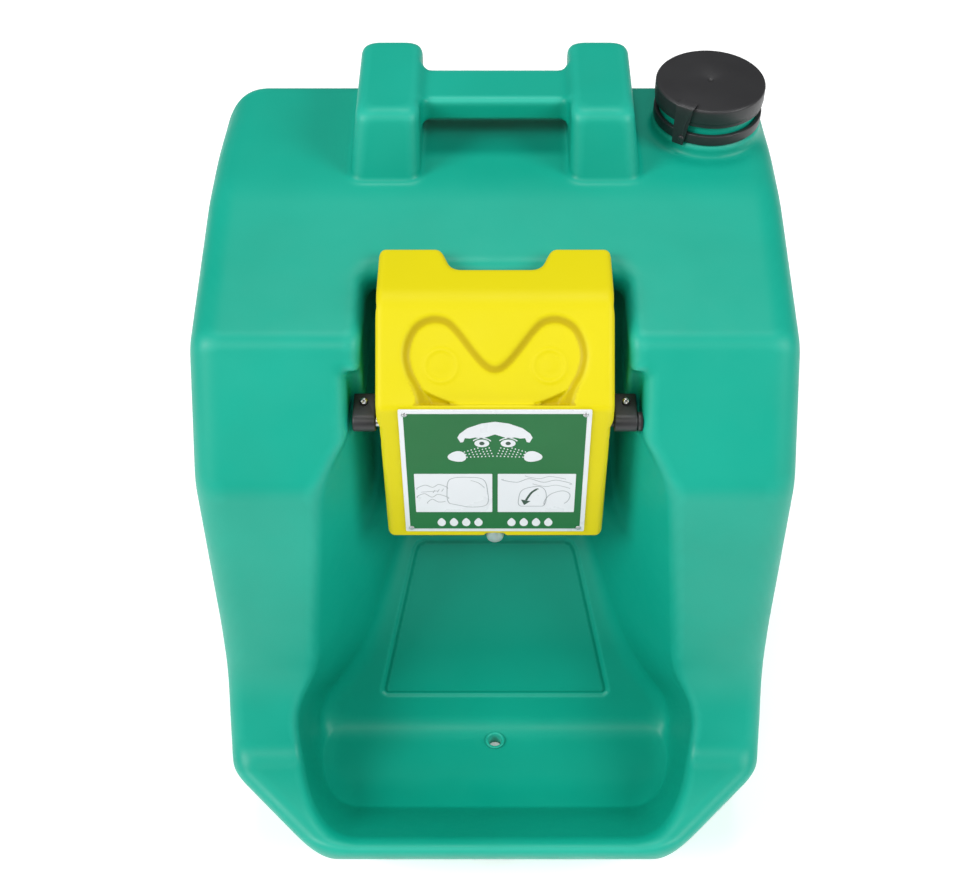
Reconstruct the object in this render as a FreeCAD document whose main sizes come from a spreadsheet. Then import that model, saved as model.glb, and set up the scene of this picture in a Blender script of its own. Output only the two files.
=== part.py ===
import FreeCAD, Part
import os, math

# Portable gravity-fed eyewash station.
# Frame: +Z up, the front (basin side) faces -Y, the arm's pivots lie along X.
# Origin: centre of the underside of the tank. All sizes in millimetres.

V = FreeCAD.Vector
doc = FreeCAD.newDocument("eyewash_station")

# ------------------------------------------------------------------ driving dimensions
DIMS = [
    ("tank_width", 540), ("tank_back_y", 302), ("tank_front_y", -302), ("tank_top_z", 588),
    ("wall_thick", 4.5), ("rim_z", 127), ("basin_floor_z", 50), ("basin_half", 180),
    ("slot_half", 116), ("pocket_half", 130), ("slot_back_y", 104), ("slot_roof_z", 548),
    ("handle_top_z", 648), ("handle_bar_y0", 198), ("handle_bar_y1", 250),
    ("handle_bar_z0", 617), ("handle_bar_z1", 640),
    ("neck_x", 204.7), ("neck_y", 230.7), ("neck_rad", 47.0), ("neck_bore", 41.0), ("neck_top_z", 634),
    ("collar_rad", 52.0), ("collar_top_z", 601),
    ("cap_rad", 52.0), ("cap_z0", 621), ("cap_z1", 640), ("cap_wall", 3.0),
    ("gasket_thick", 2.6), ("ring_z0", 601.4), ("ring_z1", 612), ("ring_bore", 47.5), ("ring_rad", 51.6),
    ("drain_y", -134.0), ("drain_hole", 9.0), ("drain_bore", 7.0), ("drain_flange", 10.3),
    ("pivot_y", -72.0), ("pivot_z", 490.0), ("pin_rad", 5.0), ("bush_bore", 5.05), ("bush_rad", 7.5),
    ("bracket_x0", 105.0), ("bracket_x1", 126.0), ("barrel_rad", 9.0), ("pin_in_x", 84.0), ("left_pin_in_x", 94.0), ("bush_in_x", 93.2),
    ("arm_half", 103.7), ("arm_low_half", 101.5), ("arm_wall", 3.5),
    ("flange_back_y", 50.0), ("flange_top_z", 586.0), ("flange_bot_z", 575.0), ("bend_y", -16.5),
    ("sign_y", -88.0), ("sign_bend_z", 524.0), ("arm_bottom_z", 346.5), ("arm_back_y", -58.0),
    ("recess_depth", 5.0),
    ("deck_thick", 3.0), ("deck_tilt", 10.0), ("head_x", 47.0), ("head_s", 58.0),
    ("head_rad", 19.0), ("head_high", 18.0), ("stem_rad", 8.0), ("disc_rad", 16.0), ("disc_thick", 3.0),
    ("pipe_rad", 7.4), ("pipe_bore", 5.0), ("hose_rad", 6.5), ("hose_bore", 4.5),
    ("plate_width", 168.0), ("plate_high", 166.0), ("plate_thick", 1.6), ("plate_z0", 356.5),
    ("screw_rad", 2.2), ("screw_head", 3.8), ("bumper_rad", 8.5), ("bumper_z", 345.0), ("bumper_y", -91.0),
    ("bracket_screw_x", 116.6),
]
sheet = doc.addObject("Spreadsheet::Sheet", "Dimensions")
for i, (name, value) in enumerate(DIMS):
    sheet.set("A%d" % (i + 1), name)
    sheet.set("B%d" % (i + 1), str(value))
    sheet.setAlias("B%d" % (i + 1), name)
doc.recompute()


def dim(name):
    return float(getattr(sheet, name))


NODES = []


def keep(obj, label):
    obj.Label = label
    NODES.append(obj)
    return obj


def bind(obj, **pairs):
    for prop, expr in pairs.items():
        obj.setExpression(prop.replace("__", "."), expr)
    return obj


def S(name):
    return "Dimensions." + name


def feature(label, shape):
    """A piece whose shape is a compound-drafted moulding, set from the sheet's values."""
    f = doc.addObject("Part::Feature", label)
    f.Shape = shape
    f.Placement = FreeCAD.Placement()
    return keep(f, label)


# ------------------------------------------------------------------ helpers for drafted mouldings
def hull(planes, grow=0.0):
    """Convex solid bounded by planes (nx, ny, nz, d): n.x <= d, moved outwards by grow."""
    pl = []
    for a, b, c, d in planes:
        n = math.sqrt(a * a + b * b + c * c)
        pl.append((a / n, b / n, c / n, d / n + grow))
    pts = []
    for i in range(len(pl)):
        for j in range(i + 1, len(pl)):
            for k in range(j + 1, len(pl)):
                A, B, C = V(*pl[i][:3]), V(*pl[j][:3]), V(*pl[k][:3])
                det = A.dot(B.cross(C))
                if abs(det) < 1e-7:
                    continue
                p = (B.cross(C) * pl[i][3] + C.cross(A) * pl[j][3] + A.cross(B) * pl[k][3]) * (1.0 / det)
                if all(q[0] * p.x + q[1] * p.y + q[2] * p.z <= q[3] + 1e-6 for q in pl):
                    if all((p - o).Length > 1e-5 for o in pts):
                        pts.append(p)
    faces = []
    for q in pl:
        n = V(*q[:3])
        on = [p for p in pts if abs(n.dot(p) - q[3]) < 1e-5]
        if len(on) < 3:
            continue
        c = V(0, 0, 0)
        for p in on:
            c = c + p
        c = c * (1.0 / len(on))
        u = (on[0] - c).normalize()
        w = n.cross(u)
        on.sort(key=lambda p: math.atan2((p - c).dot(w), (p - c).dot(u)))
        faces.append(Part.Face(Part.makePolygon(on + [on[0]])))
    solid = Part.makeSolid(Part.makeShell(faces))
    if solid.Volume < 0:
        solid.reverse()
    return solid


def through(p, q, outside):
    """Plane through two (y, z) points, whose outside holds the third point."""
    (y0, z0), (y1, z1) = p, q
    n = (-(z1 - z0), (y1 - y0))
    d = n[0] * y0 + n[1] * z0
    if n[0] * outside[0] + n[1] * outside[1] < d:
        n, d = (-n[0], -n[1]), -d
    return (0, n[0], n[1], d)


def prism(points, x0, x1):
    """Polygon of (y, z) points swept along X."""
    wire = Part.makePolygon([V(x0, y, z) for y, z in points] + [V(x0, points[0][0], points[0][1])])
    return Part.Face(wire).extrude(V(x1 - x0, 0, 0))


def cyl(r, start, end):
    a, b = V(*start), V(*end)
    return Part.makeCylinder(r, (b - a).Length, a, b - a)


def hexagon(flat, start, end):
    a, b = V(*start), V(*end)
    d = (b - a)
    rot = FreeCAD.Rotation(V(0, 0, 1), d)
    r = flat / 2 / math.cos(math.pi / 6)
    pts = [a + rot.multVec(V(r * math.cos(i * math.pi / 3), r * math.sin(i * math.pi / 3), 0)) for i in range(7)]
    return Part.Face(Part.makePolygon(pts)).extrude(d)


def fuse(first, *rest):
    out = first
    for r in rest:
        out = out.fuse(r)
    return out.removeSplitter()


# ------------------------------------------------------------------ tank
HW = dim("tank_width") / 2
BACK, FRONT, TOP, RIM = dim("tank_back_y"), dim("tank_front_y"), dim("tank_top_z"), dim("rim_z")
WALL = dim("wall_thick")
A0, A1, B1, C1 = (134, TOP), (-38.6, TOP - 30), (-121, 450), (-152, 188)

sides = [(1, 0, 0, HW), (-1, 0, 0, HW), (100, 0, -8, 100 * HW - 800), (-100, 0, -8, 100 * HW - 800)]
upper = sides + [(0, 1, 0, BACK), (0, 0, 1, TOP), (0, 0, -1, 0),
                 through(A0, A1, (0, 900)), through(A1, B1, (-300, 600)), through(B1, C1, (-400, 300))]
rim_d = 475.0
lower = sides + [(0, -1, 0, -FRONT), (0, 0, 1, RIM), (0, 0, -1, 0), (0, 1, 0, -100),
                 through((FRONT, 110), (-240, 0), (-400, 0)),
                 (1, -1, 0, rim_d), (-1, -1, 0, rim_d),
                 (1, -1, -0.8, rim_d - 0.8 * 110), (-1, -1, -0.8, rim_d - 0.8 * 110)]
chin = [(1, -1, 0, rim_d), (-1, -1, 0, rim_d), (1, -1, -0.8, rim_d - 0.8 * 110), (-1, -1, -0.8, rim_d - 0.8 * 110)]
front_wall = [(0, -1, 0, -FRONT), through((FRONT, 110), (-240, 0), (-400, 0))]
ledge = sides + chin + front_wall + [through((-153, 188), (-197, RIM), (-400, 300)), (0, 1, 0, -40), (0, 0, 1, 240), (0, 0, -1, 0)]


def post(sign):
    s = sign
    return [(-s, 0, 0, -70.0), (60 * s, 0, 8, 60 * 128 + 8 * 648),
            through((142, TOP), (168, dim("handle_top_z")), (0, 700)),
            through((296, TOP), (288, dim("handle_top_z")), (400, 700)),
            (0, 0, 1, dim("handle_top_z")), (0, 0, -1, -560)]


slope_d = 1.732 * (-118.4) - dim("basin_floor_z")
back_slope = (0, 1.732, -1, slope_d)
BH = dim("basin_half")
# the basin's side walls are drafted, and lean out to the front ledges above them
dish = [(1, 0, -0.13, BH + 0.5), (-1, 0, -0.13, BH + 0.5), (27, 0, 21, 27 * 179 + 21 * 203), (-27, 0, 21, 27 * 179 + 21 * 203),
        (0, 0, -1, -dim("basin_floor_z")),
        through((-284, RIM), (-205, dim("basin_floor_z")), (-400, 0)),
        (69, -28, -30, 14561), (-69, -28, -30, 14561), back_slope,
        (9822, 8281, 4208, 1272427), (-9822, 8281, 4208, 1272427), (0, 0, 1, 200)]
channel = [(1, 0, 0, BH), (-1, 0, 0, BH), (37942, 18870, 229.5, 3890741), (-37942, 18870, 229.5, 3890741),
           back_slope, (0, 0, -1, -150), (0, 0, 1, 500), (0, -1, 0, 400), (0, 1, 0, dim("slot_back_y")),
           (1, 0, 0.906, 160 + 0.906 * 450), (-1, 0, 0.906, 160 + 0.906 * 450)]
SH, PH = dim("slot_half"), dim("pocket_half")
slot = [(1, 0, 0, SH), (-1, 0, 0, SH), (0, 1, 0, dim("slot_back_y")), (0, -1, 0, 400), back_slope,
        (0, 0, 1, dim("slot_roof_z")), (0, 0, -1, -320)]
mouth = [(1, 0, 0, SH), (-1, 0, 0, SH), (0, 1, 0, 36), (0, -1, 0, 400), (0, 0, 1, 700), (0, 0, -1, -500)]
pocket = [(1, 0, 0, PH), (-1, 0, 0, PH), (0, 1, 0, -45), (0, -1, 0, 400), (0, 0, 1, 530), (0, 0, -1, -478)]
under = [(1, 0, 0, 24), (-1, 0, 0, 24), (0, 1, 0, -105), (0, -1, 0, 400), (0, 0, 1, 32), (0, 0, -1, 20)]
cavities = [dish, channel, slot, mouth, pocket, under]
# the base tucks in under the rim's chamfered corners
for s in (1, -1):
    cavities.append([(-s, 1, 0.8, -(rim_d - 0.8 * 110)), (0, 0, 1, 110), (0, 0, -1, 20), (0, 1, 0, -60), (0, -1, 0, 400),
                     (s, 0, 0, 400)])

NX, NY = dim("neck_x"), dim("neck_y")


def rounded(solid, radius, pick):
    edges = [e for e in solid.Edges if pick(e.CenterOfMass)]
    return solid.makeFillet(radius, edges)


def upper_edges(q):
    # side edges of the upper faces, the crease between them and the top's rear edge
    return q.z > 250 and (abs(q.x) > HW - 12 or q.y > BACK - 12 or (-80 < q.y < 0 and q.z > 500))


outer_u = rounded(hull(upper), 26.0, upper_edges)
outer_f = hull(lower)
outer = outer_u.fuse([outer_f, hull(ledge), hull(post(1)), hull(post(-1)),
                      Part.makeBox(150, dim("handle_bar_y1") - dim("handle_bar_y0"),
                                   dim("handle_bar_z1") - dim("handle_bar_z0"),
                                   V(-75, dim("handle_bar_y0"), dim("handle_bar_z0"))),
                      cyl(dim("collar_rad"), (NX, NY, TOP - 10), (NX, NY, dim("collar_top_z"))),
                      cyl(dim("neck_rad"), (NX, NY, TOP - 10), (NX, NY, dim("neck_top_z")))])
outer = outer.cut([hull(c) for c in cavities])

inner = rounded(hull(upper, -WALL), 22.0, upper_edges).fuse([hull(lower, -WALL), hull(ledge, -WALL), hull(post(1), -WALL), hull(post(-1), -WALL)])
PY, PZ = dim("pivot_y"), dim("pivot_z")
SXB = dim("bracket_screw_x")
R2 = math.sqrt(0.5)


def bracket_axis(s, t):
    """Point t mm down the bracket screw's axis from under its head: it slopes back and down at 45 degrees."""
    return (s * SXB, -54.5 + R2 * t, 497.0 - R2 * t)


bosses = [cyl(8.0, bracket_axis(s, 6), bracket_axis(s, 33)).cut(Part.makeBox(100, 100, 200, V(s * SXB - 50, -145, 400)))
          for s in (1, -1)]
bracket_bosses = list(bosses)
# the wall is thickened behind the outlet's nut, so that the nut stands clear of the sloping channel wall
bosses.append(cyl(8.5, (PH, PY, PZ), (PH + 7.4, PY, PZ)))
inner = inner.cut([hull(c, WALL) for c in cavities] + bosses)
# the moulding's floor is pinched solid around the drain and its front lip
inner = inner.cut(Part.makeBox(72, 150, 80, V(-36, -240, 0)))
inner = inner.fuse(cyl(dim("neck_bore"), (NX, NY, TOP - 20), (NX, NY, 700)))
shell = outer.cut(inner).fuse(bracket_bosses)
shell = shell.cut([cyl(dim("drain_hole"), (0, dim("drain_y"), -10), (0, dim("drain_y"), 90)),
                   cyl(dim("pin_rad") + 0.2, (PH - 3, PY, PZ), (PH + 12, PY, PZ))] +
                  [cyl(dim("screw_rad"), bracket_axis(s, 0), bracket_axis(s, 28)) for s in (1, -1)])
shell = shell.removeSplitter()
solids = sorted(shell.Solids, key=lambda q: -q.Volume)
print("tank solids", len(solids), [round(q.Volume / 1000) for q in solids][:4])
feature("tank_shell", solids[0])
print("reservoir volume, litres", round(inner.Volume / 1e6, 1))


# ------------------------------------------------------------------ small helpers bound to the sheet
def cylinder(name, radius, height, base, direction):
    c = doc.addObject("Part::Cylinder", name)
    c.setExpression("Radius", radius)
    c.setExpression("Height", height)
    c.Placement = FreeCAD.Placement(V(*base), FreeCAD.Rotation(V(0, 0, 1), V(*direction)))
    return c


def cut(name, base, tool):
    c = doc.addObject("Part::Cut", name)
    c.Base, c.Tool = base, tool
    return c


def union(name, *parts):
    c = doc.addObject("Part::MultiFuse", name)
    c.Shapes = list(parts)
    return c


# ------------------------------------------------------------------ drain grommet
DY = dim("drain_y")
FZ = dim("basin_floor_z")
gf = cylinder("grommet_flange", S("drain_flange"), "2.4", (0, DY, FZ), (0, 0, 1))
gb = cylinder("grommet_body", S("drain_hole"), "12", (0, DY, FZ - 12), (0, 0, 1))
gh = cylinder("grommet_hole", S("drain_bore"), "30", (0, DY, FZ - 20), (0, 0, 1))
keep(cut("grommet_cut", union("grommet_union", gf, gb), gh), "drain_grommet")

# ------------------------------------------------------------------ filler cap, gasket, retaining ring, strap
CZ0, CZ1, CW = dim("cap_z0"), dim("cap_z1"), dim("cap_wall")
body = doc.addObject("PartDesign::Body", "CapBody")
sk = body.newObject("Sketcher::SketchObject", "CapProfile")
xz = [f for f in body.Origin.OriginFeatures if f.Role == "XZ_Plane"][0]
sk.AttachmentSupport = [(xz, "")]
sk.MapMode = "FlatFace"
R, H = dim("cap_rad"), CZ1 - CZ0
prof = [(0, H - CW), (R - CW, H - CW), (R - CW, 0), (R, 0), (R, H - 1.6), (R - 1.6, H), (0, H)]
for i in range(len(prof)):
    a, b = prof[i], prof[(i + 1) % len(prof)]
    sk.addGeometry(Part.LineSegment(V(a[0], a[1], 0), V(b[0], b[1], 0)), False)
import Sketcher
n = len(prof)
for i in range(n):
    sk.addConstraint(Sketcher.Constraint("Coincident", i, 2, (i + 1) % n, 1))
rev = body.newObject("PartDesign::Revolution", "CapTurned")
rev.Profile = sk
rev.ReferenceAxis = (sk, ["V_Axis"])
rev.Angle = 360
body.Placement = FreeCAD.Placement(V(NX, NY, CZ0), FreeCAD.Rotation())
doc.recompute()
keep(body, "filler_cap")

g0 = cylinder("gasket_disc", S("neck_rad"), S("gasket_thick"), (NX, NY, dim("neck_top_z") + 0.1), (0, 0, 1))
g1 = cylinder("gasket_hole", S("neck_bore"), "20", (NX, NY, dim("neck_top_z") - 8), (0, 0, 1))
keep(cut("gasket_cut", g0, g1), "cap_gasket")

ang = math.radians(-122)
dx, dy = math.cos(ang), math.sin(ang)
r0 = cylinder("ring_disc", S("ring_rad"), S("ring_z1") + " - " + S("ring_z0"), (NX, NY, dim("ring_z0")), (0, 0, 1))
r1 = cylinder("ring_hole", S("ring_bore"), "40", (NX, NY, dim("ring_z0") - 10), (0, 0, 1))
knob = cylinder("ring_knuckle", "2.2", "7.6", (NX + 50.4 * dx, NY + 50.4 * dy, 607.6), (dx, dy, 0))
keep(cut("ring_cut", union("ring_union", r0, knob), r1), "cap_tether_ring")

rot = FreeCAD.Rotation(V(0, 0, 1), math.degrees(ang))


def polar_box(lx, ly, lz, r, z, off=0.0):
    b = Part.makeBox(lx, ly, lz, V(r, -ly / 2 + off, z))
    b.Placement = FreeCAD.Placement(V(NX, NY, 0), rot)
    return b


# the strap hooks over the cap's rim and hangs over the ring's knuckle, with a slot for the cap's lift
leg = polar_box(2.6, 13.0, 49.0, 52.9, 593.6)
strap = fuse(leg, polar_box(12.6, 13.0, 2.4, 42.9, 640.2)).cut(polar_box(12, 5.0, 14.6, 50, 595.8))
feature("cap_tether_strap", strap)

# ------------------------------------------------------------------ pivot brackets, pins and screws
BX0, BX1 = dim("bracket_x0"), dim("bracket_x1")
BR = dim("barrel_rad")


def bracket(sign, label):
    x0, x1 = sorted((sign * BX0, sign * BX1))
    plate = doc.addObject("Part::Box", label + "_plate")
    bind(plate, Length=S("bracket_x1") + " - " + S("bracket_x0"), Width="26.8", Height=S("barrel_rad") + " * 2")
    plate.Placement = FreeCAD.Placement(V(x0, PY, PZ - BR), FreeCAD.Rotation())
    barrel = cylinder(label + "_barrel", S("barrel_rad"), S("bracket_x1") + " - " + S("bracket_x0"),
                      (x0, PY, PZ), (1, 0, 0))
    u = union(label + "_union", plate, barrel)
    hole1 = cylinder(label + "_bore", S("pin_rad"), "60", (x0 - 15, PY, PZ), (1, 0, 0))
    hole2 = cylinder(label + "_hole", S("screw_rad"), "60", bracket_axis(sign, -5), (0, R2, -R2))
    seat = cylinder(label + "_seat", S("screw_head") + " + 0.4", "20", bracket_axis(sign, 0), (0, -R2, R2))
    keep(cut(label + "_cut", u, union(label + "_holes", hole1, hole2, seat)), label)


bracket(-1, "pivot_bracket_left")
bracket(1, "pivot_bracket_right")

# left pin: solid stainless steel
pin = cylinder("left_pin", S("pin_rad"), S("bracket_x1") + " - " + S("left_pin_in_x"), (-BX1, PY, PZ), (1, 0, 0))
keep(pin, "pivot_pin_left")
# right pin: hollow trunnion that is also the tank's outlet, with a flange, and a port inside the arm
tr = fuse(cyl(dim("pin_rad"), (dim("pin_in_x"), PY, PZ), (148, PY, PZ)), cyl(8.6, (126.4, PY, PZ), (128.4, PY, PZ)))
tr = tr.cut(cyl(3.2, (dim("pin_in_x") + 2.0, PY, PZ), (152, PY, PZ)))
tr = tr.cut(cyl(2.6, (90, PY, PZ), (90, PY, PZ + 9)))
feature("outlet_trunnion", tr)
feature("outlet_gasket", cyl(8.6, (128.4, PY, PZ), (PH, PY, PZ)).cut(cyl(dim("pin_rad"), (120, PY, PZ), (140, PY, PZ))))
feature("outlet_nut", hexagon(14.0, (PH + 7.4, PY, PZ), (PH + 13.4, PY, PZ)).cut(
    cyl(dim("pin_rad"), (120, PY, PZ), (160, PY, PZ))))


def screw(head_at, direction, length, head_r, head_t, shank_r):
    h, d = V(*head_at), V(*direction).normalize()
    head = Part.makeCylinder(head_r, head_t, h - d * head_t, d)
    shank = Part.makeCylinder(shank_r, length, h, d)
    s = head.fuse(shank).removeSplitter()
    slot_w = Part.makeBox(head_r * 1.5, 0.9, 1.1, V(-head_r * 0.75, -0.45, 0))
    slot2 = Part.makeBox(0.9, head_r * 1.5, 1.1, V(-0.45, -head_r * 0.75, 0))
    cross = slot_w.fuse(slot2)
    cross.Placement = FreeCAD.Placement(h - d * (head_t + 0.05), FreeCAD.Rotation(V(0, 0, 1), d))
    return s.cut(cross)


feature("bracket_screws", Part.makeCompound(
    [screw(bracket_axis(s, 0), (0, R2, -R2), 28, dim("screw_head"), 2.4, dim("screw_rad")) for s in (-1, 1)]))

# ------------------------------------------------------------------ activation arm
AH, AL, AW = dim("arm_half"), dim("arm_low_half"), dim("arm_wall")
FB, FT, FBOT, BY = dim("flange_back_y"), dim("flange_top_z"), dim("flange_bot_z"), dim("bend_y")
SY, SBZ, ABZ, ABY = dim("sign_y"), dim("sign_bend_z"), dim("arm_bottom_z"), dim("arm_back_y")
tilt = math.radians(dim("deck_tilt"))
TY, TZ = math.sin(tilt), math.cos(tilt)          # up along the deck
NYd, NZd = math.cos(tilt), -math.sin(tilt)       # out of the deck, towards the back
OY, OZ = -30.0, 478.0


def deck_pt(x, s, n):
    return (x, OY + TY * s + NYd * n, OZ + TZ * s + NZd * n)


top_s = (FBOT - OZ) / TZ
dk = deck_pt(0, top_s, 0)
arm_side = [(FB, FBOT), (FB, FT), (BY, FT), (SY + 2, SBZ), (SY, SBZ - 6), (SY, ABZ), (ABY, ABZ), (ABY, 470), (OY, OZ),
            (dk[1], FBOT)]
arm = prism(arm_side, -AH, AH)
arm = arm.makeFillet(3.5, [e for e in arm.Edges if abs(e.CenterOfMass.x) > AH - 0.1 and
                           (e.CenterOfMass.z > 528 and e.CenterOfMass.y < 49)
                           and abs(e.CenterOfMass.z - FBOT) > 1 and e.CenterOfMass.y < 20
                           and (e.CenterOfMass.z > FBOT or e.CenterOfMass.y < -40)])
# the lower part is a little narrower than the upper one
for s in (-1, 1):
    arm = arm.cut(Part.makeBox(10, 80, 150.5, V(AL if s > 0 else -AL - 10, -110, ABZ - 1)))
    arm = arm.cut(Part.makeBox(10, 24, 4, V(AL if s > 0 else -AL - 10, -110, ABZ + 149)))
# grip notch in the flange's back edge
notch = Part.Face(Part.makePolygon([V(-44.5, FB + 1, 560), V(-34, 23, 560), V(36, 23, 560), V(46.5, FB + 1, 560),
                                    V(-44.5, FB + 1, 560)])).extrude(V(0, 0, 40))
arm = arm.cut(notch)
# hollow inside, open at the back behind the deck
sl = (FT - SBZ) / (BY - (SY + 2))
off = AW * math.sqrt(1 + sl * sl)


def slope_in(y, extra=0.0):
    return SBZ + sl * (y - (SY + 2)) - off - extra


def slope_in_y(z):
    return (z + off - SBZ) / sl + SY + 2


zt = FBOT - 5.5
td = deck_pt(0, (zt - OZ) / TZ, 0)
cav = [(SY + AW, ABZ + AW), (SY + AW, slope_in(SY + AW)), (slope_in_y(zt), zt), (td[1] + 3, zt), (deck_pt(0, 3, 0)[1] + 3, deck_pt(0, 3, 0)[2]),
       deck_pt(0, 3, 0)[1:], (ABY - AW, 468), (ABY - AW, ABZ + AW)]
arm = arm.cut(prism(cav, -(AL - AW), AL - AW))
# lands for the deck's screws
for s in (-1, 1):
    x0, x1 = sorted((s * 86.0, s * (AL - AW + 0.5)))
    pts = [deck_pt(0, 5, -3), deck_pt(0, 88, -3), deck_pt(0, 88, -11), deck_pt(0, 5, -11)]
    arm = arm.fuse(prism([q[1:] for q in pts], x0, x1))
# pivot bosses
arm = arm.fuse([cyl(10.5, (s * dim("bush_in_x"), PY, PZ), (s * (AL - AW + 0.5), PY, PZ)) for s in (-1, 1)])
arm = arm.cut([cyl(dim("bush_rad"), (s * 80, PY, PZ), (s * 110, PY, PZ)) for s in (-1, 1)])
# goggle-shaped recess pressed into the sloped face
length = math.hypot(BY - (SY + 2), FT - SBZ)
ux, uz = (SY + 2 - BY) / length, (SBZ - FT) / length       # down the slope
nx_, nz_ = uz, -ux                                          # outward normal (front, up)


def slope_pt(x, s, n):
    return V(x, BY + ux * s + nx_ * n, FT + uz * s + nz_ * n)


outline = [(-81, 50), (-78.5, 36), (-71, 23), (-60, 15.3), (-50, 14), (-40, 17), (-30, 25), (-16, 44), (-7, 54), (0, 57.5)]
right = [(-x, s) for x, s in reversed(outline[:-1])]
pts = [(-68, 89.0)] + [(-76, 71)] + outline + right + [(76, 71)] + [(68, 89.0)]
curve = Part.BSplineCurve()
curve.interpolate([slope_pt(x, s, 1.0) for x, s in pts])
face = Part.Face(Part.Wire([curve.toShape(), Part.makeLine(slope_pt(68, 89.0, 1.0), slope_pt(-68, 89.0, 1.0))]))
depth = dim("recess_depth")
inn = V(0, -nx_, -nz_) * (depth + 1.0)
press = face.extrude(inn)
grown = Part.BSplineCurve()
backing = []
for x, s in pts:
    cx_ = 50.0 if x > 0 else -50.0
    d = math.hypot(x - cx_, s - 52)
    k = 1 + AW / max(d, 20)
    backing.append((cx_ + (x - cx_) * k, 52 + (s - 52) * k))
pad = Part.Face(Part.makePolygon([slope_pt(-88, 8, -2), slope_pt(88, 8, -2), slope_pt(88, 86, -2), slope_pt(-88, 86, -2),
                                  slope_pt(-88, 8, -2)])).extrude(V(0, -nx_, -nz_) * (depth + AW - 2.0))
arm = arm.fuse(pad.common(prism([(-84.0, 400), (-84.0, 519), (-13, 582.5), (-22, 566), (-60, 505)], -97.9, 97.9)))
arm = arm.cut(press)
# notch and seat for the bumper in the bottom edge
arm = arm.cut(cyl(dim("bumper_rad") + 0.0, (0, dim("bumper_y") - 5, dim("bumper_z")), (0, -62, dim("bumper_z"))))
# holes for the sign's screws
PZ0, PWI, PHI = dim("plate_z0"), dim("plate_width"), dim("plate_high")
sign_holes = [(sx * (PWI / 2 - 5.5), z) for sx in (-1, 1) for z in (PZ0 + 5.5, PZ0 + PHI - 5.5)]
arm = arm.cut([cyl(1.4, (x, SY - 5, z), (x, SY + AW + 1, z)) for x, z in sign_holes])
deck_holes = [(sx * 91.5, s) for sx in (-1, 1) for s in (14, 80)]
arm = arm.cut([cyl(1.5, deck_pt(x, s, 0), deck_pt(x, s, -9.5)) for x, s in deck_holes])
arm = arm.removeSplitter()
arm_solids = sorted(arm.Solids, key=lambda q: -q.Volume)
print("arm solids", len(arm_solids), [round(q.Volume / 1000, 1) for q in arm_solids])
feature("arm_shell", arm_solids[0])

# rear deck
HX, HS = dim("head_x"), dim("head_s")
DT = dim("deck_thick")
deck_poly = [deck_pt(0, 3.6, 0), deck_pt(0, (zt - 0.7 - OZ) / TZ, 0), deck_pt(0, (zt - 0.7 - OZ) / TZ, -DT), deck_pt(0, 3.6, -DT)]
deck = prism([q[1:] for q in deck_poly], -(AL - AW - 0.3), AL - AW - 0.3)
SR = dim("stem_rad")
deck = deck.cut([cyl(SR, deck_pt(s * HX, HS, -10), deck_pt(s * HX, HS, 10)) for s in (-1, 1)])
deck = deck.cut([cyl(1.5, deck_pt(x, s, -10), deck_pt(x, s, 10)) for x, s in deck_holes])
feature("arm_deck", deck)
nd = (0, NYd, NZd)
feature("deck_screws", Part.makeCompound(
    [screw(deck_pt(x, s, 0), (0, -NYd, -NZd), 9.0, 3.2, 1.8, 1.5) for x, s in deck_holes]))

# spray heads, flow discs, lock nuts
HR, HHI = dim("head_rad"), dim("head_high")
for s, side in ((-1, "left"), (1, "right")):
    x = s * HX
    cup = cyl(HR, deck_pt(x, HS, 0), deck_pt(x, HS, HHI))
    cup = cup.cut(cyl(dim("disc_rad"), deck_pt(x, HS, 4), deck_pt(x, HS, HHI + 1)))
    head = cup.fuse(cyl(SR, deck_pt(x, HS, -12), deck_pt(x, HS, 1)))
    head = head.fuse(cyl(HR - 0.0, deck_pt(x, HS, 0), deck_pt(x, HS, 4)))
    head = head.cut(cyl(4.5, deck_pt(x, HS, -13), deck_pt(x, HS, 6)))
    feature("spray_head_" + side, head.removeSplitter())
    disc = cyl(dim("disc_rad"), deck_pt(x, HS, HHI - 4.5), deck_pt(x, HS, HHI - 4.5 + dim("disc_thick")))
    jets = []
    for ring, count in ((0, 1), (5.0, 6), (10.5, 12)):
        for k in range(count):
            a = 2 * math.pi * k / count
            px, ps = ring * math.cos(a), ring * math.sin(a)
            jets.append(cyl(1.0, deck_pt(x + px, HS + ps, HHI - 8), deck_pt(x + px, HS + ps, HHI + 3)))
    feature("flow_disc_" + side, disc.cut(jets))
feature("head_nuts", Part.makeCompound(
    [hexagon(24, deck_pt(s * HX, HS, -DT - 5), deck_pt(s * HX, HS, -DT)).cut(
        cyl(SR, deck_pt(s * HX, HS, -20), deck_pt(s * HX, HS, 5))) for s in (-1, 1)]))

# manifold pipe behind the heads
MD = -18.0
m0, m1 = deck_pt(-57.5, HS, MD), deck_pt(57.5, HS, MD)
PR, PB = dim("pipe_rad"), dim("pipe_bore")
pipe = cyl(PR, m0, m1)
pipe = pipe.fuse([cyl(9.6, deck_pt(s * HX, HS, MD), deck_pt(s * HX, HS, -8.0 - 0.4)) for s in (-1, 1)])
pipe = pipe.fuse(cyl(dim("hose_bore"), deck_pt(-61, HS, MD), deck_pt(-56, HS, MD)))
pipe = pipe.cut([cyl(PB, deck_pt(-52, HS, MD), deck_pt(52, HS, MD)), cyl(2.8, deck_pt(-80, HS, MD), deck_pt(-40, HS, MD))])
pipe = pipe.cut([cyl(SR, deck_pt(s * HX, HS, -12), deck_pt(s * HX, HS, 0)) for s in (-1, 1)])
pipe = pipe.cut([cyl(4.5, deck_pt(s * HX, HS, MD), deck_pt(s * HX, HS, 0)) for s in (-1, 1)])
feature("manifold_pipe", pipe.removeSplitter())

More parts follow.
